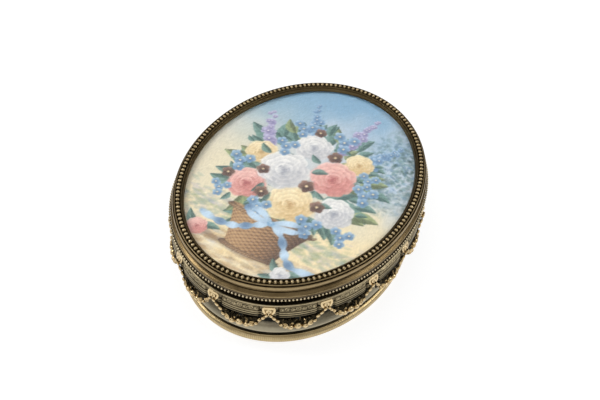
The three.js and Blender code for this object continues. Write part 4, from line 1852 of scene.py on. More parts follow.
@dataclass
class Brackets:
    """Half-round cast brackets with a broad rim, a sunk face and a dimpled boss.

    Attributes:
        levels: Heights of the courses.
        spacing: Places of the brackets.
        width: Width of a bracket.
        height: Height down to the bottom of its round.
        depth: How far its face stands out from its back.
        lean: Share of that depth that is left at the top.
        back: Outset of its back.
        drop: Gap between its top and the cornice.
        corner: Rounding of its top corners.
        rim: Width of its rim.
        boss: Radius of its boss.
        boss_drop: How far the boss lies below the top.
        sunk_hollow: Hollow of the sunk face round the boss.
    """

    levels: Levels
    spacing: Spacing
    width: float = 3.95
    height: float = 2.8
    depth: float = 1.3
    lean: float = 0.3
    back: float = 2.05
    drop: float = 0.5
    corner: float = 0.6
    rim: float = 0.62
    boss: float = 0.86
    boss_drop: float = 1.45
    sunk_hollow: float = 0.55

    @property
    def middle(self) -> float:
        """Height of the round's centre below the top."""
        return self.width / 2 - self.height

    def shield(self, bm: BMesh) -> None:
        """Adds the half-round block with its rim and sunk face."""
        half = self.width / 2
        start = bm.verts.new((-half, self.middle, 0.0))
        bmesh.ops.spin(
            bm, geom=[start], cent=(0, self.middle, 0), axis=(0, 0, 1), dvec=(0, 0, 0),
            angle=math.pi, steps=18,
        )
        ends = sorted(bm.verts, key=lambda vert: vert.co.x)
        corners = [bm.verts.new((half, 0.0, 0.0)), bm.verts.new((-half, 0.0, 0.0))]
        loop = [ends[-1], corners[0], corners[1], start]
        for pair in zip(loop, loop[1:]):
            bm.edges.new(pair)
        back = bmesh.ops.edgeloop_fill(bm, edges=list(bm.edges))["faces"]
        grown = bmesh.ops.extrude_face_region(bm, geom=back, use_keep_orig=True)["geom"]
        front = only(BMFace, grown)
        moved = only(BMVert, grown)
        bmesh.ops.translate(bm, vec=(0.0, 0.0, self.depth - 0.15), verts=moved)
        bmesh.ops.recalc_face_normals(bm, faces=bm.faces)
        for thickness, depth in ((self.rim, 0.06), (0.07, -0.28)):
            bmesh.ops.inset_region(
                bm, faces=front, thickness=thickness, depth=depth, use_even_offset=True, use_boundary=True
            )
        upright = [
            edge for edge in bm.edges
            if all(abs(vert.co.x) > half - 0.01 and vert.co.y > -0.01 for vert in edge.verts)
            and edge.verts[0].co.x * edge.verts[1].co.x > 0.0
        ]
        bmesh.ops.bevel(
            bm, geom=upright, offset=self.corner, affect="EDGES", segments=5, profile=0.5, material=-1
        )
        sharp = [edge for edge in bm.edges if edge.is_manifold and edge.calc_face_angle() > 0.8]
        bmesh.ops.bevel(
            bm, geom=sharp, offset=0.06, affect="EDGES", segments=2, profile=0.5, material=-1,
            clamp_overlap=True,
        )

    def template(self) -> BMesh:
        """One bracket in its own frame, with its back on z = 0 and its top on y = 0."""
        bm = bmesh.new()
        layer = bm.verts.layers.float.new(PATINA_AND_PAINTED_LIGHT)
        self.shield(bm)
        profile = (
            (-0.4, 0.0), (-0.4, 1.0), (0.0, 1.0), (0.16, 0.9), (0.28, 0.68), (0.3, 0.48), (0.24, 0.36),
            (0.04, 0.24), (0.0, 0.0),
        )
        boss = [(rise, self.boss * share) for rise, share in profile]
        turn(bm, boss, Matrix.Translation((0.0, -self.boss_drop, self.depth - 0.2)))
        sunk = [vert for vert in bm.verts if self.depth - 0.7 < vert.co.z < self.depth - 0.3]
        for vert in bm.verts:
            vert.co.z *= 1.0 - (1.0 - self.lean) * (1.0 + max(-1.0, vert.co.y / self.height))
        bmesh.ops.recalc_face_normals(bm, faces=bm.faces)
        darken_creases(bm, 0.12, 1.7)
        for vert in sunk:
            vert[layer] = self.sunk_hollow
        return bm

    def build(self, lathe: OvalLathe, finishes: Finishes) -> None:
        """Sets one bracket on each place."""
        pattern = self.template()
        for index in range(self.spacing.count):
            seat = lathe.oval.seat(
                self.spacing.bracket(index), self.back, self.levels.frieze_top - self.drop
            )
            copy = pattern.copy()
            bmesh.ops.transform(copy, matrix=Matrix.Scale(MM, 4) @ seat, verts=copy.verts)
            piece = new_object(f"bracket_cast_{index + 1:02d}", copy)
            shade(piece.data, 50.0)
            hand_over(
                piece, Body.BOX, [f"bracket_{index + 1:02d}"], finishes.bright_gilt
            )
        pattern.free()


@dataclass
class Garlands:
    """Cast leaf garlands with berries and a rosette, hung between the brackets.

    Attributes:
        spacing: Places of the brackets.
        outset: Outset of a garland's middle.
        end_outset: Outset of its ends.
        sag: How far its middle hangs below its ends.
        end_gap: Distance from a bracket's middle to a garland's end.
        end_height: Height of its ends.
        fall: Power of the curve it hangs in, where 2 is a parabola.
        end_radius: Thickness at its ends.
        middle_radius: Thickness at its middle.
        clusters: Leaf clusters on each half.
        leaf_angles: Places of a cluster's leaves, in degrees from outwards to upwards.
        berries: Share of the half span and radius of each berry on one half.
        curls: Share of the half span, place round the bundle and length of each curled leaf on one half.
        husks: Share and radius of each husk of the string at its end.
        ball: Radius of the ball in its middle.
        petals: Petals of the rosette behind the ball.
        seed: Seed of the small differences between leaves.
    """

    spacing: Spacing
    outset: float = 2.25
    end_outset: float = 2.95
    sag: float = 4.7
    end_gap: float = 1.0
    end_height: float = 18.1
    fall: float = 2.8
    end_radius: float = 0.42
    middle_radius: float = 1.3
    clusters: int = 6
    leaf_angles: tuple[float, ...] = (-80.0, -35.0, 10.0, 55.0, 95.0, 135.0)
    berries: tuple[Pair, ...] = ((0.27, 0.87), (0.44, 0.7), (0.6, 0.52))
    curls: tuple[Triple, ...] = (
        (0.36, -80.0, 1.7), (0.52, -55.0, 2.3), (0.64, -10.0, 2.4), (0.74, -80.0, 2.0),
    )
    husks: tuple[Pair, ...] = ((0.79, 0.54), (0.93, 0.5), (1.05, 0.42))
    ball: float = 1.22
    petals: int = 9
    seed: int = 11

    @property
    def half_span(self) -> float:
        """Distance along the oval from a garland's middle to its end."""
        return self.spacing.pitch / 2 - self.end_gap

    def thickness(self, share: float) -> float:
        """Radius of the bundle at a share of the half span."""
        swell = max(0.0, 1.0 - share * share)
        return self.end_radius + (self.middle_radius - self.end_radius) * swell

    def leaf(
        self, bm: BMesh, base: Vector, ahead: Vector, away: Vector, size: Triple, gloss: float
    ) -> None:
        """Adds one pointed leaf.

        Args:
            bm: Mesh to add to.
            base: Where the leaf starts.
            ahead: Direction of its tip.
            away: Direction that its face looks in.
            size: Length, half width and half thickness.
            gloss: How bright its tip is, from 0 to 1, by wear and a painted highlight; a low value leaves the
                leaf dark.
        """
        layer = bm.verts.layers.float[PATINA_AND_PAINTED_LIGHT]
        length, wide, thick = size
        made = bmesh.ops.create_uvsphere(bm, u_segments=6, v_segments=5, radius=1.0)["verts"]
        for vert in made:
            share = (vert.co.z + 1.0) / 2.0
            fold = 0.35 * wide * abs(vert.co.x)
            curl = 0.2 * length * share * share
            # Wear and a painted highlight brighten the leaf towards its tip.
            vert[layer] = clamp(1.0 - gloss * (0.25 + 0.8 * share))
            vert.co = (vert.co.x * wide, vert.co.y * thick + curl - fold, share * length)
        side = away.cross(ahead).normalized()
        face = ahead.cross(side).normalized()
        matrix = Matrix((side, face, ahead)).transposed().to_4x4()
        matrix.translation = base
        bmesh.ops.transform(bm, matrix=matrix, verts=made)

    def berry(self, bm: BMesh, middle: Vector, radius: float) -> None:
        """Adds one round berry, with a painted highlight on its outer and upper side and painted shade at its
        ends.
        """
        layer = bm.verts.layers.float[PATINA_AND_PAINTED_LIGHT]
        made = bmesh.ops.create_uvsphere(
            bm, u_segments=8, v_segments=6, radius=radius, matrix=Matrix.Translation(middle)
        )["verts"]
        # Painted light: the berry is brighter where it faces out and up, and darker at its ends along the
        # garland.
        for vert in made:
            facing = (vert.co - middle) / radius
            turned = 0.36 - 0.3 * facing.z - 0.16 * facing.y + 0.3 * facing.x * facing.x
            vert[layer] = clamp(turned)

    def half(self, bm: BMesh, side: int, draw: np.random.Generator) -> None:
        """Adds the leaves and berries of one half.

        Args:
            bm: Mesh to add to.
            side: -1 or 1, the half's direction.
            draw: Source of the small differences.
        """
        for index in range(self.clusters):
            share = 0.8 - 0.5 * index / (self.clusters - 1)
            radius = self.thickness(share)
            for angle in self.leaf_angles:
                lean = math.radians(angle + draw.normal(0.0, 8.0))
                away = Vector((0.0, 1.25 * math.sin(lean), 0.5 * math.cos(lean)))
                tilt = math.radians(36.0 + draw.normal(0.0, 6.0))
                ahead = Vector((-side * math.cos(tilt), 0.0, 0.0)) + away * math.sin(tilt)
                base = Vector((side * share * self.half_span, 0.0, -0.3)) + away * 0.3 * radius
                length = (1.0 + 0.8 * radius) * draw.uniform(0.88, 1.12)
                # Leaves that point upwards get a dimmer tip, so the bundle is darker at the top.
                gloss = draw.uniform(0.25, 0.68) - 0.15 * math.sin(lean)
                self.leaf(bm, base, ahead.normalized(), away, (length, 0.32 + 0.26 * radius, 0.2), gloss)
        for share, size in self.berries:
            radius = self.thickness(share)
            self.berry(bm, Vector((side * share * self.half_span, -0.75 * radius, 0.62 * radius)), size)
        for share, angle, length in self.curls:
            radius = self.thickness(share)
            lean = math.radians(angle)
            away = Vector((0.0, math.sin(lean), 0.55 * math.cos(lean)))
            ahead = (0.5 * away - Vector((side, 0.0, 0.0))).normalized()
            base = Vector((side * share * self.half_span, 0.0, 0.0)) + 0.75 * radius * away
            self.leaf(bm, base, ahead, away, (length, 0.58, 0.24), 1.1)
        for share, size in self.husks:
            self.berry(bm, Vector((side * share * self.half_span, 0.0, 0.3)), size)

    def template(self) -> BMesh:
        """One garland laid out straight: X along it, Y up and Z out."""
        bm = bmesh.new()
        layer = bm.verts.layers.float.new(PATINA_AND_PAINTED_LIGHT)
        draw = np.random.default_rng(self.seed)
        for side in (-1, 1):
            self.half(bm, side, draw)
        stem = [(self.half_span * share / 8, 0.42 * self.thickness(share / 8)) for share in range(-8, 9)]
        stem = [(stem[0][0] - 0.2, 0.0), *stem, (stem[-1][0] + 0.2, 0.0)]
        behind = Matrix.Translation((0.0, 0.0, -0.35)) @ Matrix.Rotation(math.pi / 2, 4, "Y")
        # Painted shade: the stem behind the leaves is fully dark.
        for vert in turn(bm, stem, behind, steps=8):
            vert[layer] = 1.0
        middle = Vector((0.0, -0.6, 0.5))
        facing = Vector((0.0, -0.35, 0.94)).normalized()
        for petal in range(self.petals):
            spoke = Vector((1.0, 0.0, 0.0))
            spoke.rotate(Matrix.Rotation(TURN * (petal + 0.5) / self.petals, 3, "Z"))
            ahead = (spoke - 0.15 * facing).normalized()
            self.leaf(bm, middle - 0.7 * facing, ahead, facing, (1.9, 0.5, 0.2), 0.42)
        self.berry(bm, middle, self.ball)
        bmesh.ops.recalc_face_normals(bm, faces=bm.faces)
        return bm

    def build(self, lathe: OvalLathe, finishes: Finishes) -> None:
        """Hangs one garland between each two brackets."""
        pattern = self.template()
        for index in range(self.spacing.count):
            piece = new_object(f"garland_cast_{index + 1:02d}", pattern.copy())
            places = corners_of(piece.data)
            share = places[:, 0] / self.half_span
            swell = 1.0 - np.abs(share) ** self.fall
            steep = self.fall * np.sign(share) * np.abs(share) ** (self.fall - 1.0)
            slope = np.arctan2(self.sag * steep, self.half_span)
            along = self.spacing.bracket(index + 0.5) + places[:, 0] - places[:, 1] * np.sin(slope)
            outset = self.end_outset + (self.outset - self.end_outset) * swell + places[:, 2]
            x, y = lathe.oval.place(along, outset)
            move_corners(piece.data, x, y, self.end_height - self.sag * swell + places[:, 1] * np.cos(slope))
            shade(piece.data, 70.0)
            hand_over(
                piece, Body.BOX, [f"garland_{index + 1:02d}"], finishes.bright_gilt
            )
        pattern.free()


@dataclass(frozen=True)
class Pad:
    """A closed pad that fills the oval: flat on one side and crowned on the other.

    Attributes:
        name: Name of the piece.
        node: Node whose room it takes.
        outset: Outset of its edge.
        side: Height of its side, negative for a pad that hangs.
        slack: How far its cover starts inside its room.
        reach: How far a point of the cover may move.
        sewn: Share of the way out from which the cover is sewn down.
    """

    ENLARGED = 8.0
    COLUMNS = 46
    ROWS = 60
    FRAMES = 20
    MASS = 0.02
    STIFFNESS = 0.2
    STRETCH = 0.03
    PRESSURE = 4.0

    name: str
    node: str
    outset: float
    side: float
    slack: float
    reach: float
    sewn: float = 0.93

    def shape(self, oval: Oval) -> tuple[Object, Array]:
        """Cuts the cover.

        Args:
            oval: The bead line.

        Returns:
            The pad before it swells, and the share of the way out of each vertex, 1 where it is sewn.
        """
        bm = bmesh.new()
        bmesh.ops.create_grid(bm, x_segments=self.COLUMNS, y_segments=self.ROWS, size=1.0)
        bmesh.ops.translate(bm, vec=(0.0, 0.0, 1.0), verts=bm.verts)
        rim = [edge for edge in bm.edges if edge.is_boundary]
        for drop in (0.35, 0.65):
            grown = bmesh.ops.extrude_edge_only(bm, edges=rim)["geom"]
            rim = only(BMEdge, grown)
            bmesh.ops.translate(bm, vec=(0.0, 0.0, -drop), verts=only(BMVert, grown))
        bmesh.ops.edgeloop_fill(bm, edges=rim)
        piece = new_object(self.name, bm)
        places = corners_of(piece.data)
        across, along, level = places.T
        x, y = oval.fill(across, along, self.outset)
        half_width, half_length = oval.half_sizes(self.outset)
        share = np.minimum(1.0, np.hypot(x / half_width, y / half_length))
        flat, crown = low(self.node).z, high(self.node).z - self.slack
        if self.side < 0.0:
            flat, crown = high(self.node).z, low(self.node).z + self.slack
        edge = flat + self.side
        dome = (crown - edge) * (1.0 - share**6) ** 0.6
        move_corners(piece.data, x, y, flat + level * self.side + (level > 0.9) * dome)
        return piece, np.where(level > 0.9, share, 1.0)

    def swell(self, piece: Object, share: Array) -> None:
        """Lets the cover swell over its filling as cloth, and keeps the result.

        Args:
            piece: The pad as it was cut.
            share: Share of the way out of each vertex.
        """
        start = corners_of(piece.data)
        double = bpy.data.objects.new("cover", piece.data.copy())
        double.data.transform(Matrix.Scale(self.ENLARGED, 4))
        bpy.context.scene.collection.objects.link(double)
        seam = double.vertex_groups.new(name="seam")
        seam.add(np.flatnonzero(share > self.sewn).tolist(), 1.0, "REPLACE")
        cloth = double.modifiers.new("cover", "CLOTH").settings
        cloth.vertex_group_mass = seam.name
        cloth.mass = self.MASS
        cloth.bending_stiffness = self.STIFFNESS
        cloth.shrink_min = -self.STRETCH
        cloth.use_pressure = True
        cloth.uniform_pressure_force = self.PRESSURE
        cloth.effector_weights.gravity = 0.0
        for step in range(1, self.FRAMES + 1):
            bpy.context.scene.frame_set(step)
        graph = bpy.context.evaluated_depsgraph_get()
        moved = corners_of(double.evaluated_get(graph).data) / self.ENLARGED - start
        bpy.data.objects.remove(double)
        bpy.context.scene.frame_set(1)
        length = np.linalg.norm(moved, axis=1, keepdims=True)
        moved *= np.minimum(1.0, self.reach * MM / np.maximum(length, 1e-9))
        x, y, z = ((start + moved) / MM).T
        move_corners(piece.data, x, y, np.clip(z, low(self.node).z, high(self.node).z))
        log.info("%s: swelled by up to %.2f mm", self.name, length.max() / MM)

    def build(self, oval: Oval) -> Object:
        """Makes the pad."""
        piece, share = self.shape(oval)
        bm = bmesh.new()
        bm.from_mesh(piece.data)
        bmesh.ops.recalc_face_normals(bm, faces=bm.faces)
        bm.to_mesh(piece.data)
        bm.free()
        self.swell(piece, share)
        shade(piece.data, 50.0)
        return piece


@dataclass
class Linings:
    """Velvet inside the box and padded silk inside the lid.

    Attributes:
        levels: Heights of the courses.
        strip: Outsets of the wall strip's two faces.
        strip_drop: How far its top lies below the lip.
        floor: The velvet pad on the floor.
        silk: The silk pad inside the lid.
    """

    levels: Levels
    strip: Pair = (-5.1, -4.4)
    strip_drop: float = 2.4
    floor: Pad = Pad("velvet_pad", "floor_pad", outset=-5.3, side=2.0, slack=0.5, reach=0.5)
    silk: Pad = Pad("silk_pad", "lid_lining", outset=-6.9, side=-0.45, slack=0.3, reach=0.35)

    def strip_section(self) -> Section:
        """Outline of the wall strip."""
        top = self.levels.lip_top - self.strip_drop
        round_top = (self.strip[1] - self.strip[0]) / 2
        outline = Section(self.strip[1], self.levels.floor)
        outline.arc((self.strip[1] - round_top, top - round_top), round_top, 0.0, 180.0, steps=8)
        return outline.lines((self.strip[0], self.levels.floor))

    def build(self, lathe: OvalLathe, finishes: Finishes) -> None:
        """Makes the strip and both pads."""
        strip = lathe.ring("velvet_strip", self.strip_section(), HIDDEN_COLUMNS)
        hand_over(strip, Body.BOX, ["wall_lining"], finishes.rose_velvet)
        floor = self.floor.build(lathe.oval)
        hand_over(floor, Body.BOX, ["floor_pad"], finishes.rose_velvet)
        silk = self.silk.build(lathe.oval)
        hand_over(silk, Body.LID, ["lid_lining"], finishes.cream_silk)


@dataclass(frozen=True, eq=False)
class Tint:
    """Three display colours of one painted thing.

    Attributes:
        light: Colour in the light.
        middle: Its own colour.
        dark: Colour in the shade.
    """

    light: Array
    middle: Array
    dark: Array

    @classmethod
    def of(cls, *codes: int) -> Tint:
        """A tint from three colour codes of red, green and blue bytes."""
        return cls(*(np.array([code >> 16, code >> 8 & 255, code & 255]) / 255.0 for code in codes))

    def shaded(self, tone: Array, rise: float, start: float, glow: float) -> Array:
        """Colours by tone.

        Args:
            tone: Tone of each place, from 0 to 1.
            rise: How fast the dark turns to the middle colour.
            start: Tone above which light is added.
            glow: Strength of that light.

        Returns:
            The colours.
        """
        colour = self.dark + (self.middle - self.dark) * np.minimum(1.0, rise * tone)
        return colour + (self.light - colour) * np.clip(tone - start, 0.0, 1.0) * glow


class Pigment(Enum):
    """The painter's tints."""

    WHITE = Tint.of(0xF3F0EA, 0xD9D6D3, 0x8C909E)
    CREAM = Tint.of(0xF5E9C6, 0xE6CF9C, 0xAE8656)
    PINK = Tint.of(0xF3CFC4, 0xDD9C90, 0x9E5153)
    BLUE = Tint.of(0xBFD4E6, 0x7FA5C6, 0x44678C)
    LAVENDER = Tint.of(0xDAD6E8, 0xABA4C6, 0x6B6590)
    BROWN = Tint.of(0xB08A74, 0x6C4A40, 0x33211F)
    LEAF = Tint.of(0xA3BDAF, 0x5C827B, 0x264743)
    MOSS = Tint.of(0xC2C79B, 0x859464, 0x465238)
    WICKER = Tint.of(0xD9B98C, 0x9C7650, 0x4B3426)


class Canvas:
    """A sheet that brush marks are laid on, in display colours.

    Attributes:
        x: Place of each column.
        y: Place of each row.
        colours: The paint.
        draw: Source of the hand's small differences.
    """

    def __init__(self, half_width: float, half_height: float, pitch: float, seed: int) -> None:
        """Cuts a sheet.

        Args:
            half_width: Half its width.
            half_height: Half its height.
            pitch: Size of its finest mark.
            seed: Seed of the hand's small differences.
        """
        self.x = np.arange(-half_width, half_width + pitch, pitch)
        self.y = np.arange(-half_height, half_height + pitch, pitch)
        self.colours = np.ones((len(self.y), len(self.x), 3))
        self.draw = np.random.default_rng(seed)

    def window(self, x: float, y: float, reach: float) -> tuple[tuple[slice, slice], Array, Array]:
        """The part of the sheet round a place.

        Args:
            x: Place across.
            y: Place up.
            reach: Half the part's size.

        Returns:
            Its slices, and the distances across and up from the place.
        """
        columns = slice(*np.searchsorted(self.x, (x - reach, x + reach)))
        rows = slice(*np.searchsorted(self.y, (y - reach, y + reach)))
        across, up = np.meshgrid(self.x[columns] - x, self.y[rows] - y)
        return (rows, columns), across, up

    def brush(self, place: Pair, reach: float, angle: float) -> tuple[tuple[slice, slice], Array, Array]:
        """The part of the sheet round a place, seen along a direction.

        Args:
            place: Its middle.
            reach: Half the part's size.
            angle: The direction.

        Returns:
            Its slices, and the distances ahead and to the left.
        """
        part, across, up = self.window(*place, reach)
        cosine, sine = math.cos(angle), math.sin(angle)
        return part, across * cosine + up * sine, up * cosine - across * sine

    def lay(self, part: tuple[slice, slice], cover: Array, colour: Array) -> None:
        """Lays paint over a part of the sheet."""
        patch = self.colours[part]
        patch += cover[..., None] * (colour - patch)

    def cloud(self, cells: int) -> Array:
        """Soft noise over the whole sheet, with the given number of cells across."""
        grid = self.draw.random((cells + 2, cells + 2))
        rows = np.linspace(0.0, cells, len(self.y))
        columns = np.linspace(0.0, cells, len(self.x))
        row, column = rows.astype(int), columns.astype(int)
        down = ease(0.0, 1.0, rows - row)[:, None]
        over = ease(0.0, 1.0, columns - column)
        first = grid[row][:, column] * (1 - over) + grid[row][:, column + 1] * over
        second = grid[row + 1][:, column] * (1 - over) + grid[row + 1][:, column + 1] * over
        return first * (1 - down) + second * down

    def dab(
        self, place: Pair, size: Pair, angle: float, colour: Array, cover: float, soft: float = 0.4
    ) -> None:
        """One touch of the brush.

        Args:
            place: Its middle.
            size: Half its length and half its width.
            angle: Direction of its length.
            colour: Its colour.
            cover: How much it hides.
            soft: Share of it that fades out.
        """
        part, ahead, aside = self.brush(place, max(size) * 1.05, angle)
        reach = np.hypot(ahead / size[0], aside / size[1])
        self.lay(part, cover * ease(1.0, 1.0 - soft, reach), colour)

    def petal(self, place: Pair, angle: float, size: Pair, tint: Tint, lit: float) -> None:
        """One petal that opens in a direction.

        Args:
            place: Its middle.
            angle: Direction in which it opens.
            size: Half its width and half its depth.
            tint: Its colours.
            lit: How much light it gets, from 0 to 1.
        """
        part, out, aside = self.brush(place, max(size) * 1.15, angle)
        out, aside = out / size[1], aside / size[0]
        ruffle = 1.0 + 0.05 * np.sin(5.0 * np.arctan2(aside, out) + self.draw.uniform(0.0, TURN))
        reach = np.hypot(out, aside) * ruffle
        tone = np.clip(0.48 + 0.42 * out + 0.06 * np.sin(11.0 * aside), 0.0, 1.0)[..., None]
        bright = tint.middle + (tint.light - tint.middle) * lit
        deep = tint.dark + (tint.middle - tint.dark) * (0.55 * lit)
        edge = 0.5 * ridge(0.1, reach - 0.86) * ease(-0.2, 0.5, out) * lit
        colour = deep + (bright - deep) * tone
        colour = colour + (tint.light - colour) * edge[..., None]
        self.lay(part, 0.94 * ease(1.0, 0.84, reach), colour)

    def flower(
        self, place: Pair, radius: float, tint: Tint, whorls: Sequence[tuple[int, float, float, float]]
    ) -> None:
        """A flower of whorls of petals, lit from the upper left.

        Args:
            place: Its middle.
            radius: Its radius.
            tint: Its colours.
            whorls: Petal count, distance, half width and half depth of each, in shares of the radius.
        """
        self.dab(place, (1.06 * radius, 1.0 * radius), 0.0, tint.dark, 0.55, 0.5)
        for count, distance, wide, deep in whorls:
            first = self.draw.uniform(0.0, TURN)
            for step in self.draw.permutation(count):
                angle = first + TURN * step / count + self.draw.normal(0.0, 0.1)
                spot = polar(place, distance * radius, angle)
                lit = 0.5 + 0.5 * math.cos(angle - math.radians(130.0))
                lit = clamp(lit + self.draw.normal(0.0, 0.08))
                self.petal(spot, angle, (wide * radius, deep * radius), tint, lit)

    def rose(self, place: Pair, radius: float, tint: Tint) -> None:
        """A full rose with a folded heart."""
        self.flower(place, radius, tint, (
            (7, 0.62, 0.44, 0.36), (7, 0.44, 0.38, 0.32), (6, 0.29, 0.3, 0.25), (5, 0.16, 0.22, 0.18),
        ))
        for turn_share in range(9):
            angle = 2.2 * turn_share
            spot = polar(place, radius * 0.03 * turn_share, angle)
            self.dab(spot, (0.1 * radius, 0.03 * radius), angle + math.pi / 2, tint.dark, 0.55)

    def blossom(self, place: Pair, radius: float, tint: Tint, eye: Tint) -> None:
        """A small five-petalled flower with an eye."""
        self.flower(place, radius, tint, ((5, 0.52, 0.42, 0.46),))
        self.dab(place, (0.24 * radius, 0.24 * radius), 0.0, eye.middle, 0.9, 0.5)
        self.dab(place, (0.1 * radius, 0.1 * radius), 0.0, eye.light, 0.9, 0.5)

    def leaf(self, place: Pair, angle: float, length: float, wide: float, tint: Tint) -> None:
        """A pointed leaf with a light midrib.

        Args:
            place: Where its stalk starts.
            angle: Direction of its tip.
            length: Its length.
            wide: Half its width.
            tint: Its colours.
        """
        part, ahead, aside = self.brush(place, length * 1.05, angle)
        ahead = ahead / length
        inside = np.clip(ahead, 0.0, 1.0)
        aside = aside - 0.12 * length * np.sin(math.pi * inside)
        edge = wide * np.power(np.sin(math.pi * np.power(inside, 0.8)), 0.9) + 1e-6
        cross = aside / edge
        mask = ease(1.0, 0.8, np.abs(cross)) * ease(0.0, 0.06, ahead) * ease(1.0, 0.94, ahead)
        veins = 0.08 * np.sin(26.0 * (ahead - 0.25 * np.abs(cross)))
        tone = np.clip(0.42 + 0.3 * np.sign(cross) * np.abs(cross) ** 0.5 + veins, 0.0, 1.0)[..., None]
        colour = tint.shaded(tone, 1.7, 0.45, 1.2)
        rib = ridge(0.07, cross)[..., None] * 0.5
        self.lay(part, 0.9 * mask, colour + (tint.light - colour) * rib)

    def spike(self, start: Pair, stop: Pair, size: float, tint: Tint) -> None:
        """A tall flower spike whose florets shrink towards its tip."""
        steps = 16
        for step in range(steps):
            share = step / (steps - 1)
            wander = self.draw.normal(0.0, 0.45 * size * (1.0 - 0.6 * share), 2)
            spot = (
                start[0] + (stop[0] - start[0]) * share + wander[0],
                start[1] + (stop[1] - start[1]) * share + wander[1],
            )
            self.blossom(spot, size * (1.0 - 0.62 * share), tint, Pigment.WHITE.value)

    def ribbon(self, corners: Sequence[Pair], wide: float, folds: float, tint: Tint) -> None:
        """A ribbon along a Bezier path, light and dark by turns as it folds.

        Args:
            corners: Four control points.
            wide: Half its width.
            folds: Number of its folds.
            tint: Its colours.
        """
        points = np.array(corners)
        steps = 260
        for step in range(steps):
            t = step / (steps - 1)
            rest = 1 - t
            slopes = np.array([-(rest**2), rest**2 - 2 * t * rest, 2 * t * rest - t * t, t * t])
            spot = bezier(t) @ points
            ahead = slopes @ points
            angle = math.atan2(ahead[1], ahead[0]) + math.pi / 2
            fold = math.sin(math.pi * folds * t)
            half = wide * (0.45 + 0.55 * abs(fold))
            tone = 0.5 + 0.5 * fold
            colour = tint.dark + (tint.light - tint.dark) * (0.25 + 0.75 * tone)
            self.dab(tuple(spot), (half, 0.34), angle, colour, 0.6, 0.35)
            shine = tuple(spot + 0.45 * half * np.array([math.cos(angle), math.sin(angle)]))
            self.dab(shine, (0.3 * half, 0.3), angle, tint.light, 0.3, 0.8)

    def sample(self, x: Array, y: Array) -> Array:
        """Linear colours of the paint at places, blended between the nearest marks."""
        pitch = self.x[1] - self.x[0]
        column = np.clip((x - self.x[0]) / pitch, 0.0, len(self.x) - 1.001)
        row = np.clip((y - self.y[0]) / pitch, 0.0, len(self.y) - 1.001)
        left, bottom = column.astype(int), row.astype(int)
        over, lift = (column - left)[:, None], (row - bottom)[:, None]
        lower = self.colours[bottom, left] * (1 - over) + self.colours[bottom, left + 1] * over
        upper = self.colours[bottom + 1, left] * (1 - over) + self.colours[bottom + 1, left + 1] * over
        display = np.clip(lower * (1 - lift) + upper * lift, 0.0, 1.0)
        return np.where(display < 0.04045, display / 12.92, np.power((display + 0.055) / 1.055, 2.4))


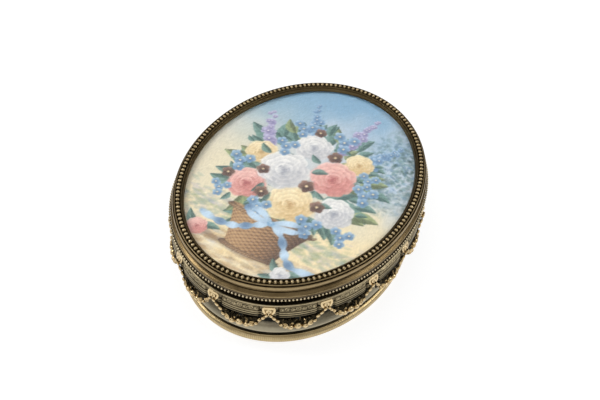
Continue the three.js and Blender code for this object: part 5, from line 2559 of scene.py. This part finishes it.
class Bouquet:
    """A basket of garden flowers in front of a pale sky."""

    ROSES: tuple[tuple[float, float, float, Pigment], ...] = (
        (-17.0, 3.0, 5.8, Pigment.CREAM), (13.5, 14.0, 5.2, Pigment.CREAM), (-3.0, 13.5, 6.8, Pigment.WHITE),
        (-14.0, -11.5, 7.0, Pigment.PINK), (16.0, -9.0, 6.8, Pigment.WHITE), (9.0, 4.0, 8.2, Pigment.PINK),
        (2.5, -12.5, 8.4, Pigment.CREAM), (-6.5, -0.5, 9.2, Pigment.WHITE),
    )
    BLUE_BLOSSOMS: tuple[Triple, ...] = (
        (4.5, 21.0, 3.2), (-10.5, 20.0, 2.8), (-21.0, -4.0, 3.0), (20.5, 2.5, 3.0), (11.0, -18.0, 3.0),
        (-6.0, -18.5, 2.8), (22.0, -16.5, 2.6), (-11.5, 9.5, 2.8), (19.0, 9.0, 2.5), (-20.5, -17.5, 2.4),
    )
    DARK_BLOSSOMS: tuple[Triple, ...] = (
        (3.2, -3.2, 2.9), (5.2, 13.0, 2.8), (-12.5, -3.6, 2.4), (10.2, -9.4, 2.7), (-21.5, -10.5, 2.4),
        (-4.5, 21.0, 2.3), (-8.0, -12.5, 2.6),
    )
    SPIKES: tuple[tuple[float, float, float, float, Pigment], ...] = (
        (-5.0, 17.0, -12.0, 34.0, Pigment.BLUE), (6.0, 18.0, 10.0, 36.0, Pigment.LAVENDER),
        (15.0, 15.0, 22.0, 28.0, Pigment.BLUE), (-17.0, 8.0, -24.0, 22.0, Pigment.LAVENDER),
    )
    CUT_FLOWERS: tuple[tuple[float, float, float, Pigment], ...] = (
        (-17.5, -34.5, 3.6, Pigment.PINK), (13.5, -38.0, 3.2, Pigment.WHITE),
    )
    RIBBONS: tuple[tuple[tuple[Pair, ...], float, float], ...] = (
        (((2.0, -22.5), (12.0, -26.0), (9.0, -38.0), (22.0, -33.0)), 1.7, 5.0),
        (((1.0, -22.5), (-6.0, -29.0), (-10.0, -31.0), (-20.0, -28.5)), 1.7, 5.0),
        (((1.5, -22.5), (-9.0, -14.5), (-13.0, -24.0), (1.5, -22.5)), 1.5, 3.0),
        (((1.5, -22.5), (12.0, -14.5), (16.0, -24.0), (1.5, -22.5)), 1.5, 3.0),
    )
    BASKET: Pair = (1.0, -28.0)
    TREE_DABS = 1500
    HILL_DABS = 700
    LEDGE_DABS = 900
    LEAVES = 84
    STROKES = 7000
    GOLDEN_ANGLE = 2.39996

    def __init__(self, canvas: Canvas) -> None:
        """Takes the sheet to paint on."""
        self.canvas = canvas

    def sky(self) -> None:
        """Washes in the sky, from lavender blue above to warm cream below."""
        canvas = self.canvas
        x, y = np.meshgrid(canvas.x / canvas.x[-1], canvas.y / canvas.y[-1])
        drift = canvas.cloud(4) * 0.55 + canvas.cloud(9) * 0.3 + canvas.cloud(22) * 0.15
        blue = np.array([0.50, 0.65, 0.76])
        pale = np.array([0.74, 0.78, 0.82])
        cream = np.array([0.91, 0.84, 0.68])
        height = y - 0.35 * x + 0.9 * (drift - 0.5)
        colour = cream + (pale - cream) * ease(-0.75, 0.05, height)[..., None]
        colour = colour + (blue - colour) * ease(0.1, 1.0, height)[..., None]
        glow = ridge(0.6, np.hypot(x + 0.75, y + 0.2))[..., None]
        canvas.colours[:] = colour + (cream - colour) * 0.75 * glow

    def trees(self) -> None:
        """Hazes in distant trees on the right and low hills behind the basket."""
        canvas = self.canvas
        for index in range(self.TREE_DABS):
            angle = canvas.draw.uniform(0.0, TURN)
            reach = math.sqrt(canvas.draw.uniform(0.0, 1.0))
            place = (27.0 + 15.0 * reach * math.cos(angle), 19.0 + 22.0 * reach * math.sin(angle))
            tint = Pigment.LEAF.value if index % 3 else Pigment.BLUE.value
            shade_of = tint.dark if canvas.draw.random() < 0.45 else tint.middle
            size = canvas.draw.uniform(0.5, 1.5)
            lean = canvas.draw.uniform(0.0, TURN)
            canvas.dab(place, (size, 0.55 * size), lean, shade_of, 0.3 * (1.25 - reach))
        for index in range(self.HILL_DABS):
            place = (canvas.draw.uniform(-36.0, 36.0), -25.0 + canvas.draw.normal(0.0, 3.2))
            tint = (Pigment.LEAF, Pigment.MOSS, Pigment.LAVENDER)[index % 3].value
            size = canvas.draw.uniform(0.8, 2.4)
            canvas.dab(place, (size, 0.4 * size), canvas.draw.normal(0.0, 0.3), tint.middle, 0.16)

    def ledge(self) -> None:
        """Lays the pale stone ledge that the basket stands on."""
        canvas = self.canvas
        for index in range(self.LEDGE_DABS):
            place = (canvas.draw.uniform(-36.0, 36.0), canvas.draw.uniform(-46.0, -32.0))
            tint = (Pigment.CREAM, Pigment.WHITE, Pigment.WICKER)[index % 3].value
            size = canvas.draw.uniform(1.2, 3.4)
            colour = tint.middle if canvas.draw.random() < 0.7 else tint.dark
            canvas.dab(place, (size, 0.35 * size), canvas.draw.normal(0.0, 0.12), colour, 0.22)
        canvas.dab((1.0, -35.8), (19.0, 2.6), 0.0, Pigment.BROWN.value.dark, 0.5, 0.9)

    def basket(self) -> None:
        """Weaves the basket: a tapered bowl of wicker with a braided rim and foot."""
        canvas = self.canvas
        tint = Pigment.WICKER.value
        part, across, up = canvas.window(*self.BASKET, 17.0)
        share = np.clip((up + 7.5) / 15.0, 0.0, 1.0)
        half = 8.6 + 5.6 * np.power(share, 1.3)
        round_x = np.clip(across / half, -1.0, 1.0)
        bend = np.arcsin(round_x)
        sag = up + 1.1 * (1.0 - np.square(round_x))
        weave = np.sin(22.0 * bend) * np.sin(4.6 * sag)
        tone = np.clip(0.55 - 0.35 * round_x + 0.3 * weave - 0.3 * round_x**4, 0.0, 1.0)[..., None]
        colour = tint.shaded(tone, 1.6, 0.5, 1.3)
        mask = ease(1.0, 0.965, np.abs(across) / half) * ease(-8.2, -7.4, sag) * ease(8.2, 7.4, up)
        canvas.lay(part, mask, colour)
        for level, half_width in ((6.8, 14.6), (-7.2, 9.2)):
            for step in range(64):
                lean = math.pi * (step / 63 - 0.5)
                place = (
                    self.BASKET[0] + half_width * math.sin(lean),
                    self.BASKET[1] + level - 1.3 * math.cos(lean),
                )
                colour = tint.light if step % 2 else tint.middle
                colour = colour * (1.0 - 0.3 * max(0.0, math.sin(lean)))
                canvas.dab(place, (1.15, 0.5), 0.7, tint.dark, 0.6, 0.3)
                canvas.dab(place, (0.95, 0.32), 0.7, colour, 0.85, 0.4)

    def foliage(self) -> None:
        """Sets leaves all round the flowers."""
        canvas = self.canvas
        for index in range(self.LEAVES):
            angle = self.GOLDEN_ANGLE * index
            reach = 9.0 + 13.5 * math.sqrt(index / self.LEAVES)
            place = (0.5 + 0.95 * reach * math.cos(angle), 0.98 * reach * math.sin(angle))
            lean = angle + canvas.draw.normal(0.0, 0.45)
            tint = (Pigment.LEAF if index % 3 else Pigment.MOSS).value
            length = canvas.draw.uniform(6.0, 10.5)
            canvas.leaf(place, lean, length, 0.24 * length, tint)

    def flowers(self) -> None:
        """Sets the flowers, the tall ones first."""
        canvas = self.canvas
        for start_x, start_y, stop_x, stop_y, pigment in self.SPIKES:
            canvas.spike((start_x, start_y), (stop_x, stop_y), 2.5, pigment.value)
        for x, y, radius, pigment in self.ROSES:
            canvas.rose((x, y), radius, pigment.value)
            for lean in (0.4, 2.6, 4.4):
                spot = polar((x, y), 0.95 * radius, lean)
                canvas.leaf(spot, lean, 0.62 * radius, 0.16 * radius, Pigment.LEAF.value)
        for x, y, radius in self.BLUE_BLOSSOMS:
            for offset in ((0.0, 0.0), (0.8, 0.75), (-0.85, 0.6), (0.35, -0.95)):
                spot = (x + offset[0] * radius, y + offset[1] * radius)
                canvas.blossom(spot, 0.72 * radius, Pigment.BLUE.value, Pigment.CREAM.value)
        for x, y, radius in self.DARK_BLOSSOMS:
            canvas.blossom((x, y), radius, Pigment.BROWN.value, Pigment.CREAM.value)

    def trimmings(self) -> None:
        """Ties the ribbon and scatters a few cut flowers on the ledge."""
        canvas = self.canvas
        blue = Pigment.BLUE.value
        for corners, wide, folds in self.RIBBONS:
            canvas.ribbon(corners, wide, folds, blue)
        canvas.dab((1.5, -22.6), (1.5, 1.3), 0.2, blue.middle, 0.95, 0.3)
        canvas.dab((1.2, -22.2), (0.7, 0.5), 0.2, blue.light, 0.7, 0.6)
        for x, y, radius, pigment in self.CUT_FLOWERS:
            for lean in (0.3, 2.4, 3.6):
                canvas.leaf((x, y), lean, 2.1 * radius, 0.45 * radius, Pigment.LEAF.value)
            canvas.rose((x, y), radius, pigment.value)

    def hatching(self) -> None:
        """Goes over all of it with the fine strokes of a small brush."""
        canvas = self.canvas
        spots = canvas.draw.uniform(-1.0, 1.0, (self.STROKES, 2)) * (canvas.x[-1], canvas.y[-1])
        for x, y in spots:
            row = min(len(canvas.y) - 1, int(np.searchsorted(canvas.y, y)))
            column = min(len(canvas.x) - 1, int(np.searchsorted(canvas.x, x)))
            colour = np.clip(canvas.colours[row, column] + canvas.draw.normal(0.0, 0.045), 0.0, 1.0)
            lean = 0.9 + canvas.draw.normal(0.0, 0.5)
            canvas.dab((x, y), (canvas.draw.uniform(0.5, 1.5), 0.16), lean, colour, 0.45, 0.5)

    def paint(self) -> Canvas:
        """Paints the whole picture."""
        for stage in (
            self.sky, self.trees, self.ledge, self.foliage, self.basket, self.flowers, self.trimmings,
            self.hatching,
        ):
            stage()
        return self.canvas


@dataclass
class Picture:
    """The painted panel, the crowned glass over it and the card behind.

    Attributes:
        levels: Heights of the courses.
        edge: Outset of the panel's and the glass's edge.
        sight: Outset of the bezel's inner edge.
        air: Gap between the panel and the glass.
        columns: Cells across the panel.
        rows: Cells along the panel.
        mark: Size of the finest brush mark.
        seed: Seed of the painter's hand.
    """

    levels: Levels
    edge: float = -1.4
    sight: float = -2.17
    air: float = 0.06
    columns: int = 264
    rows: int = 338
    mark: float = 0.12
    seed: int = 23

    def panel(self, oval: Oval) -> Object:
        """Makes the panel, a thin sheet whose cells follow the oval."""
        bm = bmesh.new()
        bmesh.ops.create_grid(bm, x_segments=self.columns, y_segments=self.rows, size=1.0)
        rim = [edge for edge in bm.edges if edge.is_boundary]
        grown = bmesh.ops.extrude_edge_only(bm, edges=rim)["geom"]
        thickness = low("picture_panel").z - self.levels.picture_top
        bmesh.ops.translate(bm, vec=(0.0, 0.0, thickness), verts=only(BMVert, grown))
        bmesh.ops.edgeloop_fill(bm, edges=only(BMEdge, grown))
        bmesh.ops.recalc_face_normals(bm, faces=bm.faces)
        piece = new_object("painted_sheet", bm)
        across, along, level = corners_of(piece.data).T
        x, y = oval.fill(across, along, self.edge)
        move_corners(piece.data, x, y, level + self.levels.picture_top)
        canvas = Bouquet(Canvas(*oval.half_sizes(self.edge), self.mark, self.seed)).paint()
        colours = np.ones((len(x), 4), dtype=np.float32)
        colours[:, :3] = canvas.sample(x, y)
        layer = piece.data.color_attributes.new(PAINT, "FLOAT_COLOR", "POINT")
        layer.data.foreach_set("color", colours.ravel())
        return piece

    def glass(self, lathe: OvalLathe) -> Object:
        """Makes the glass: flat where the bezel holds it, and crowned in the sight."""
        bottom = self.levels.picture_top + self.air
        top = self.levels.glass_edge - 0.02
        crown = self.levels.glass_crown - top
        half = lathe.oval.semi_short
        sight_share = (half + self.sight) / (half + self.edge)
        outline = [(0.0, bottom), (0.97, bottom), (0.997, bottom)]
        outline += [(1.0, bottom + 0.25), (1.0, top - 0.25), (0.997, top)]
        steps = 24
        for step in range(steps + 1):
            share = sight_share * (1.0 - step / steps)
            outline.append((share, top + crown * (1.0 - (share / sight_share) ** 2)))
        return lathe.disc("crowned_glass", outline, self.edge, GLASS_COLUMNS)

    def build(self, lathe: OvalLathe, finishes: Finishes) -> None:
        """Makes the panel and the glass, and dresses the card."""
        panel = self.panel(lathe.oval)
        hand_over(panel, Body.LID, ["picture_panel"], finishes.painted_panel)
        glass = self.glass(lathe)
        hand_over(glass, Body.LID, ["glass_cover"], finishes.clear_glass)
        dress_node("backing_card", finishes.grey_card)


@dataclass
class Stage:
    """The pale floor, soft light and the camera at the photograph's place.

    Attributes:
        azimuth: Camera's place round the box, in degrees from the front.
        elevation: Its height angle, in degrees.
        distance: Its distance from the target.
        target: Point that it looks at.
        roll: Its roll, in degrees.
        lens: Its focal length.
        floor_colour: Colour of the floor.
        floor_lift: Share of its whiteness that doesn't depend on the light.
        floor_half: Half its width, in metres.
        sky_rise: Heights between which the surround grows brighter.
        sky_tones: Its brightness at the sides and above.
        horizon: Heights between which the white horizon fades.
        lamps: Name, place, size and power of each lamp.
    """

    azimuth: float = 26.3
    elevation: float = 47.5
    distance: float = 250.7
    target: Triple = (5.05, -10.94, 30.75)
    roll: float = 3.73
    lens: float = 48.6
    floor_colour: float = 0.4
    floor_lift: float = 0.76
    floor_half: float = 30.0
    sky_rise: Pair = (0.3, 1.0)
    sky_tones: Pair = (0.19, 0.8)
    horizon: Pair = (0.1, 0.22)
    lamps: tuple[tuple[str, Triple, float, float], ...] = (
        ("lamp_left", (-0.75, -0.25, 0.85), 0.5, 4.0),
        ("lamp_right", (0.7, 0.35, 0.75), 0.4, 2.4),
        ("lamp_front", (0.25, -0.9, 0.5), 0.9, 1.2),
    )

    def camera(self) -> None:
        """Sets the camera."""
        azimuth, elevation = math.radians(self.azimuth), math.radians(self.elevation)
        right = Vector((math.cos(azimuth), math.sin(azimuth), 0.0))
        back = Vector((
            math.sin(azimuth) * math.cos(elevation), -math.cos(azimuth) * math.cos(elevation),
            math.sin(elevation),
        ))
        tilt = Matrix.Rotation(math.radians(self.roll), 3, back)
        up = tilt @ back.cross(right)
        data = bpy.data.cameras.new("camera")
        data.lens = self.lens
        data.sensor_width = 36.0
        data.clip_start = 0.01
        camera = bpy.data.objects.new("camera", data)
        matrix = Matrix((tilt @ right, up, back)).transposed().to_4x4()
        matrix.translation = (Vector(self.target) + self.distance * back) * MM
        camera.matrix_world = matrix
        bpy.context.scene.collection.objects.link(camera)
        bpy.context.scene.camera = camera

    def floor(self) -> None:
        """Lays the floor, white to the eye and to polished metal, with the box's shadow on it."""
        bm = bmesh.new()
        bmesh.ops.create_grid(bm, x_segments=1, y_segments=1, size=self.floor_half)
        floor = new_object("floor", bm)
        material, bench = new_material("floor")
        tone = (self.floor_colour,) * 3
        diffuse = bench.add("ShaderNodeBsdfDiffuse", {"Color": tone})
        lift = bench.add(
            "ShaderNodeEmission", {"Strength": bench.math("MULTIPLY", bench.seen(), self.floor_lift)}
        )
        both = bench.add("ShaderNodeAddShader", {0: diffuse.outputs[0], 1: lift.outputs[0]})
        bench.surface(both)
        floor.data.materials.append(material)

    def sky(self) -> None:
        """Sets a soft studio surround, bright above and darker at the sides, with a white horizon."""
        world = bpy.data.worlds.new("studio")
        world.use_nodes = True
        world.node_tree.nodes.clear()
        bench = NodeBench(world.node_tree)
        direction = bench.add("ShaderNodeTexCoord").outputs["Generated"]
        rise = bench.add("ShaderNodeSeparateXYZ", {0: direction}).outputs["Z"]
        tone = bench.span(rise, *self.sky_rise, *self.sky_tones)
        fade = bench.span(rise, *self.horizon, 1.0, 0.0)
        horizon = bench.math("MULTIPLY", bench.seen(), fade)
        background = bench.add("ShaderNodeBackground", {
            "Color": (1.0, 1.0, 1.0), "Strength": bench.math("MAXIMUM", tone, horizon),
        })
        bench.add("ShaderNodeOutputWorld", {"Surface": background.outputs[0]})
        bpy.context.scene.world = world

    def lamp(self, name: str, place: Triple, size: float, power: float) -> None:
        """Hangs a soft lamp that looks at the box.

        Args:
            name: Name of the lamp.
            place: Where it hangs, in metres.
            size: Its size, in metres.
            power: Its power, in watts.
        """
        data = bpy.data.lights.new(name, "AREA")
        data.shape = "DISK"
        data.size = size
        data.energy = power
        lamp = bpy.data.objects.new(name, data)
        lamp.location = place
        lamp.rotation_euler = (-Vector(place)).to_track_quat("-Z", "Y").to_euler()
        bpy.context.scene.collection.objects.link(lamp)

    def build(self) -> None:
        """Sets the whole stage."""
        self.camera()
        self.floor()
        self.sky()
        for lamp in self.lamps:
            self.lamp(*lamp)
        bpy.context.scene.view_settings.view_transform = "Standard"


def main() -> None:
    """Builds the stage, then the box from its base to its lid."""
    logging.basicConfig(level=logging.INFO, format="%(message)s")
    Stage().build()
    levels = Levels.from_frame()
    frieze_face = Frieze.cornice
    edge = high("cornice_ring")
    oval = Oval(edge.x - frieze_face, edge.y - frieze_face)
    spacing = Spacing(oval.perimeter)
    plinth, wall, neck = Plinth(levels), Wall(levels), Neck(levels)
    frieze, lid, linings = Frieze(levels, spacing), LidFrame(levels), Linings(levels)
    shelter = Shelter([
        plinth.section(), wall.section(), wall.shell_section(), frieze.section(), frieze.cornice_section(),
        neck.section(), neck.lip_section(), lid.section(), lid.bezel_section(),
        lid.wire_section(lid.bead_course()), lid.wire_section(lid.pearl_course()), linings.strip_section(),
    ])
    lathe = OvalLathe(oval, shelter)
    finishes = Finishes()
    for part in (
        plinth, wall, frieze, neck, Brackets(levels, spacing), Garlands(spacing), linings, lid,
        Picture(levels),
    ):
        part.build(lathe, finishes)
    Hinge().build(finishes)


if __name__ == "__main__":
    main()
